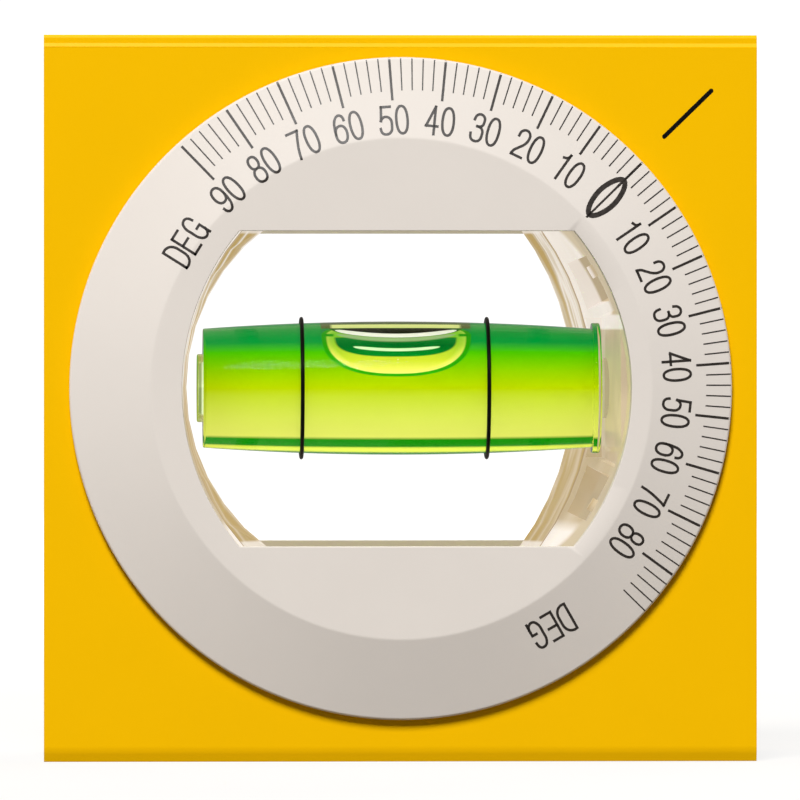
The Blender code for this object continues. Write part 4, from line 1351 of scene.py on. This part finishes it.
@dataclass
class BubbleVial:
    """The barrel vial with its liquid, its bubble and its two black reading rings."""

    maker: PieceMaker
    axis_height: float = 30.78 * MM
    left_reach: float = 16.2 * MM
    right_reach: float = 16.95 * MM
    radius: float = 5.57 * MM
    barrel_drop: float = 0.60 * MM
    bore_radius: float = 4.10 * MM
    left_wall: float = 0.28 * MM
    right_wall: float = 0.25 * MM
    flange_radius: float = 5.44 * MM
    flange_thickness: float = 0.7 * MM
    spigot_radius: float = 2.5 * MM
    spigot_length: float = 2.05 * MM
    plug_radius: float = 2.85 * MM
    plug_proud: float = 0.5 * MM
    overlap: float = 0.05 * MM
    film: float = 0.01 * MM
    mark_reach: float = 7.75 * MM
    mark_middle: float = -0.22 * MM
    mark_wire: tuple[float, float] = (0.24 * MM, 0.17 * MM)
    steps: int = 144
    bubble_middle: float = -0.10 * MM
    bubble_reach: float = 6.22 * MM
    bubble_shoulder: float = 4.40 * MM
    bubble_sag: float = 3.40 * MM
    bubble_power: float = 2.4

    @property
    def stand(self) -> Matrix:
        """Where the vial's own axis stands in the level."""
        return (Matrix.Translation((0, 0, self.axis_height))
                @ Matrix.Rotation(math.pi / 2, 4, "Y"))

    def build(self) -> None:
        """Make the vial's pieces."""
        self.build_shell()
        self.build_liquid()
        self.build_marks()
        self.build_bubble()
        self.build_end_plug()

    def barrel(self, start: float, end: float, steps: int = 40) -> list[tuple[float, float]]:
        """Profile points along the barrel."""
        places = [start + (end - start) * step / steps for step in range(steps + 1)]
        return [(self.radius - self.barrel_drop * (place / self.left_reach) ** 2, place)
                for place in places]

    def build_shell(self) -> None:
        """Make the acrylic shell with its flange and spigot."""
        right, left = self.right_reach, -self.left_reach
        flange = right - self.flange_thickness
        edge = 0.12 * MM
        outer = [(0, right + self.spigot_length),
                 (self.spigot_radius - edge, right + self.spigot_length),
                 (self.spigot_radius, right + self.spigot_length - edge),
                 (self.spigot_radius, right),
                 *arc((self.flange_radius - edge, right - edge), edge, math.pi / 2, 0, 3),
                 *arc((self.flange_radius - edge, flange + edge), edge, 0, -math.pi / 4, 2)]
        barrel = self.barrel(flange, left + edge)
        last = barrel[-1][0]
        outer += [*barrel, *arc((last - edge, left + edge), edge, -math.pi / 8, -math.pi / 2, 3),
                  (0, left)]
        shape = turn_profile(outer, self.steps, self.stand)
        bore = turn_profile([(0, left + self.left_wall), (self.bore_radius, left + self.left_wall),
                             (self.bore_radius, right - self.right_wall),
                             (0, right - self.right_wall)], self.steps, self.stand)
        bmesh.ops.reverse_faces(bore, faces=bore.faces)
        for face in bore.faces:
            face.material_index = 1
        mesh = bpy.data.meshes.new("bore")
        bore.to_mesh(mesh)
        bore.free()
        shape.from_mesh(mesh)
        bpy.data.meshes.remove(mesh)
        self.maker.add("vial_shell", shape, Body.TURRET, Slot.ACRYLIC,
                       [FINISH.acrylic, FINISH.wet_bore],
                       ["vial_body"])

    def build_liquid(self) -> None:
        """Make the liquid that wets the whole bore."""
        left = -self.left_reach + self.left_wall + self.film
        right = self.right_reach - self.right_wall - self.film
        radius = self.bore_radius - 4 * self.film
        shape = turn_profile([(0, right), (radius, right), (radius, left), (0, left)],
                             self.steps, self.stand)
        self.maker.add("vial_filling", shape, Body.TURRET, Slot.LIQUID, [FINISH.liquid],
                       ["vial_liquid"])

    def build_end_plug(self) -> None:
        """Make the stopper that closes the vial, bonded to its end."""
        start = -self.left_reach - self.plug_proud
        edge = 0.15 * MM
        profile = [(0, start), *arc((self.plug_radius - edge, start + edge), edge,
                                    -math.pi / 2, 0, 4),
                   (self.plug_radius, -self.left_reach + self.overlap),
                   (0, -self.left_reach + self.overlap)]
        shape = turn_profile(profile, self.steps, self.stand)
        self.maker.add("vial_stopper", shape, Body.TURRET, Slot.ACRYLIC, [FINISH.stopper],
                       ["vial_end_plug"])

    def build_marks(self) -> None:
        """Make the two reading rings."""
        seat = self.radius - self.barrel_drop * (self.mark_reach / self.left_reach) ** 2
        radius = seat + self.overlap + self.mark_wire[0]
        for name, direction in (("left", -1), ("right", 1)):
            place = self.mark_middle + direction * self.mark_reach
            profile = [(radius + self.mark_wire[0] * out, place + self.mark_wire[1] * along)
                       for out, along in arc((0, 0), 1, 0, -2 * math.pi, 16)[:-1]]
            shape = turn_profile(profile, self.steps, self.stand, closed=True)
            self.maker.add(f"{name}_reading_ring", shape, Body.TURRET, Slot.MARK, [FINISH.mark],
                           [f"{name}_mark_ring"])

    def build_bubble(self) -> None:
        """Make the bubble: air that fills the top of the bore down to the bent liquid."""
        radius = self.bore_radius - self.film
        depth = radius / self.radius
        stations = [-math.cos(math.pi * step / 72) for step in range(73)]
        around = 96
        shape = bmesh.new()
        sight = shape.verts.layers.float_vector.new("sight")
        summit = Glass.angle_seen(0.999, depth)
        loops = [bridge_ready_ring(shape, around, order) for order in range(len(stations))]
        for first, second in zip(loops, loops[1:]):
            bmesh.ops.bridge_loops(shape, edges=first.edges + second.edges)
        for loop in (loops[0], loops[-1]):
            bmesh.ops.contextual_create(shape, geom=loop.edges)
        for loop, station in zip(loops, stations):
            fall = (1 - min(abs(station), 1.0) ** self.bubble_power) ** (1 / self.bubble_power)
            seen = (self.bubble_shoulder - self.bubble_sag * fall) / self.radius
            low = Glass.angle_seen(seen, depth)
            place = self.bubble_middle + self.bubble_reach * station
            for order, vert in enumerate(loop.verts):
                share = order / (around // 2)
                if share <= 1:
                    angle = low + (math.pi - 2 * low) * share
                    y, z = -radius * math.cos(angle), radius * math.sin(angle)
                else:
                    angle = low
                    y, z = radius * math.cos(low) * (3 - 2 * share), radius * math.sin(low)
                vert.co = (place, y, self.axis_height + z)
                up = angle if angle < summit else math.pi - angle
                vert[sight] = (self.bubble_reach * station / MM,
                               Glass.height_seen(up, depth) * self.radius / MM, 0)
        bmesh.ops.recalc_face_normals(shape, faces=shape.faces)
        self.maker.add("bubble_of_air", shape, Body.BUBBLE, Slot.AIR, [FINISH.bubble],
                       ["air_bubble"], 50)


@dataclass
class Studio:
    """Pale sweep, soft lights and the camera."""

    camera_distance: float = 889 * MM
    frame_width: float = 66.05 * MM
    aim: tuple[float, float, float] = (-0.06 * MM, -11 * MM, 29.86 * MM)
    azimuth: float = math.radians(-1.8)
    elevation: float = math.radians(0.39)
    daylight: float = 0.040

    def build(self) -> None:
        """Make the whole studio."""
        self.build_camera()
        self.build_lights()
        self.build_world()
        self.build_sweep()
        bpy.context.scene.view_settings.view_transform = "Standard"

    def build_camera(self) -> None:
        """Place the camera at the photograph's angle."""
        camera = bpy.data.cameras.new("camera")
        camera.sensor_width = 36
        camera.lens = 36 * self.camera_distance / self.frame_width
        camera.clip_start = 0.05
        camera.clip_end = 20
        holder = bpy.data.objects.new("camera", camera)
        bpy.context.scene.collection.objects.link(holder)
        direction = Vector((math.sin(self.azimuth) * math.cos(self.elevation),
                            -math.cos(self.azimuth) * math.cos(self.elevation),
                            math.sin(self.elevation)))
        holder.location = Vector(self.aim) + self.camera_distance * direction
        holder.rotation_euler = direction.to_track_quat("Z", "Y").to_euler()
        bpy.context.scene.camera = holder

    def build_lights(self) -> None:
        """Hang the key light above the front, a fill on the other side and one behind."""
        target = Vector((0, 0, 0.03))
        for name, place, size, watts in (
                ("key_light", (-0.28, -1.37, 1.42), 0.7, 47.2),
                ("left_light", (-0.90, 0.30, 0.30), 0.6, 4.5),
                ("right_light", (0.90, 0.30, 0.30), 0.6, 4.5),
                ("back_light", (0.15, 0.95, 0.45), 0.8, 8.0)):
            light = bpy.data.lights.new(name, "AREA")
            light.shape = "SQUARE"
            light.size = size
            light.energy = watts
            lamp = bpy.data.objects.new(name, light)
            bpy.context.scene.collection.objects.link(lamp)
            lamp.visible_transmission = False
            lamp.visible_glossy = name == "key_light"
            lamp.location = target + Vector(place)
            lamp.rotation_euler = Vector(place).to_track_quat("Z", "Y").to_euler()

    def build_world(self) -> None:
        """Make the world white to the eye, with less light from it on the object."""
        world = bpy.data.worlds.new("pale_studio")
        world.use_nodes = True
        tree = world.node_tree
        background = tree.nodes["Background"]
        background.inputs["Color"].default_value = (1, 1, 1, 1)
        tree.links.new(seen_ray_strength(tree, self.daylight, 1.0),
                       background.inputs["Strength"])
        bpy.context.scene.world = world

    def build_sweep(self) -> None:
        """Make the floor and the wall behind as one curved sheet."""
        shape = bmesh.new()
        profile = [(-1.6, 0.0), (1.2, 0.0), *[(1.2 + 0.5 * math.sin(a), 0.5 - 0.5 * math.cos(a))
                                              for a in [math.pi / 2 * s / 16
                                                        for s in range(1, 17)]], (1.7, 2.6)]
        verts = [shape.verts.new((-2.4, y, z)) for y, z in profile]
        edges = [shape.edges.new(pair) for pair in zip(verts, verts[1:])]
        made = bmesh.ops.extrude_edge_only(shape, edges=edges)
        moved = [item for item in made["geom"] if isinstance(item, bmesh.types.BMVert)]
        bmesh.ops.translate(shape, verts=moved, vec=(4.8, 0, 0))
        bmesh.ops.recalc_face_normals(shape, faces=shape.faces)
        mesh = bpy.data.meshes.new("studio_sweep")
        shape.to_mesh(mesh)
        shape.free()
        mesh.shade_smooth()
        mesh.materials.append(self.sweep_material())
        sweep = bpy.data.objects.new("studio_sweep", mesh)
        bpy.context.scene.collection.objects.link(sweep)

    def sweep_material(self) -> bpy.types.Material:
        """Pale paper that the eye sees as white, and that keeps the object's shadow."""
        graph = ShaderGraph("pale_sweep")
        cloud = graph.noise(graph.place(), 6, 2)
        graph.set(Base_Color=graph.ramp(cloud, [(0.3, (0.15, 0.14, 0.125)),
                                                (0.7, (0.17, 0.16, 0.145))]),
                  Roughness=0.9)
        graph.shader.inputs["Specular IOR Level"].default_value = 0.0
        away = graph.node("ShaderNodeVectorMath", operation="LENGTH")
        graph.feed(away.inputs[0], graph.place())
        glow = graph.node("ShaderNodeEmission")
        far_glow = graph.spread(away.outputs["Value"], (0.15, 0.45), (0.80, 1.0))
        seen = seen_ray_strength(graph.tree, 0.0, 1.0)
        graph.feed(glow.inputs["Strength"], graph.maths("MULTIPLY", far_glow, seen))
        both = graph.node("ShaderNodeAddShader")
        graph.feed(both.inputs[0], graph.shader.outputs[0])
        graph.feed(both.inputs[1], glow.outputs[0])
        graph.feed(graph.output.inputs["Surface"], both.outputs[0])
        return graph.material


def seen_ray_strength(tree: bpy.types.NodeTree, light: float, seen: float
                      ) -> bpy.types.NodeSocket:
    """Strength that differs for rays that are seen and for rays that carry light.

    Args:
        tree: Node tree that gets the nodes.
        light: Strength for rays that light the object.
        seen: Strength for camera and transmission rays; a mirrored ray gets a share of it.

    Returns:
        The strength's socket.
    """
    path = tree.nodes.new("ShaderNodeLightPath")
    total = path.outputs["Is Camera Ray"]
    for name, share in (("Is Glossy Ray", 0.25), ("Is Transmission Ray", 1.0)):
        part = tree.nodes.new("ShaderNodeMath")
        part.operation = "MULTIPLY"
        part.inputs[1].default_value = share
        tree.links.new(path.outputs[name], part.inputs[0])
        either = tree.nodes.new("ShaderNodeMath")
        either.operation = "MAXIMUM"
        tree.links.new(total, either.inputs[0])
        tree.links.new(part.outputs[0], either.inputs[1])
        total = either.outputs[0]
    mapped = tree.nodes.new("ShaderNodeMapRange")
    tree.links.new(total, mapped.inputs["Value"])
    mapped.inputs["To Min"].default_value = light
    mapped.inputs["To Max"].default_value = seen
    return mapped.outputs["Result"]


def dress_hidden_pieces(maker: PieceMaker) -> None:
    """Dress the nodes that keep their own shape inside the turret."""
    maker.dress_node("vial_carrier", FINISH.carrier)
    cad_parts["vial_carrier"].visible_glossy = False
    for name in ("front_friction_ring", "rear_friction_ring"):
        maker.dress_node(name, FINISH.rubber)
    for number in range(1, 5):
        maker.dress_node(f"dial_pin_{number}", FINISH.pin)


def main() -> None:
    """Build the studio and every piece of the level."""
    logging.basicConfig(level=logging.INFO, format="%(name)s: %(message)s")
    Studio().build()
    maker = PieceMaker()
    BodySection(maker).build()
    for side in Side:
        AngleDial(maker, side).build()
    BubbleVial(maker).build()
    dress_hidden_pieces(maker)
    LOG.info("%d pieces made", len(maker.made))


if __name__ == "__main__":
    main()
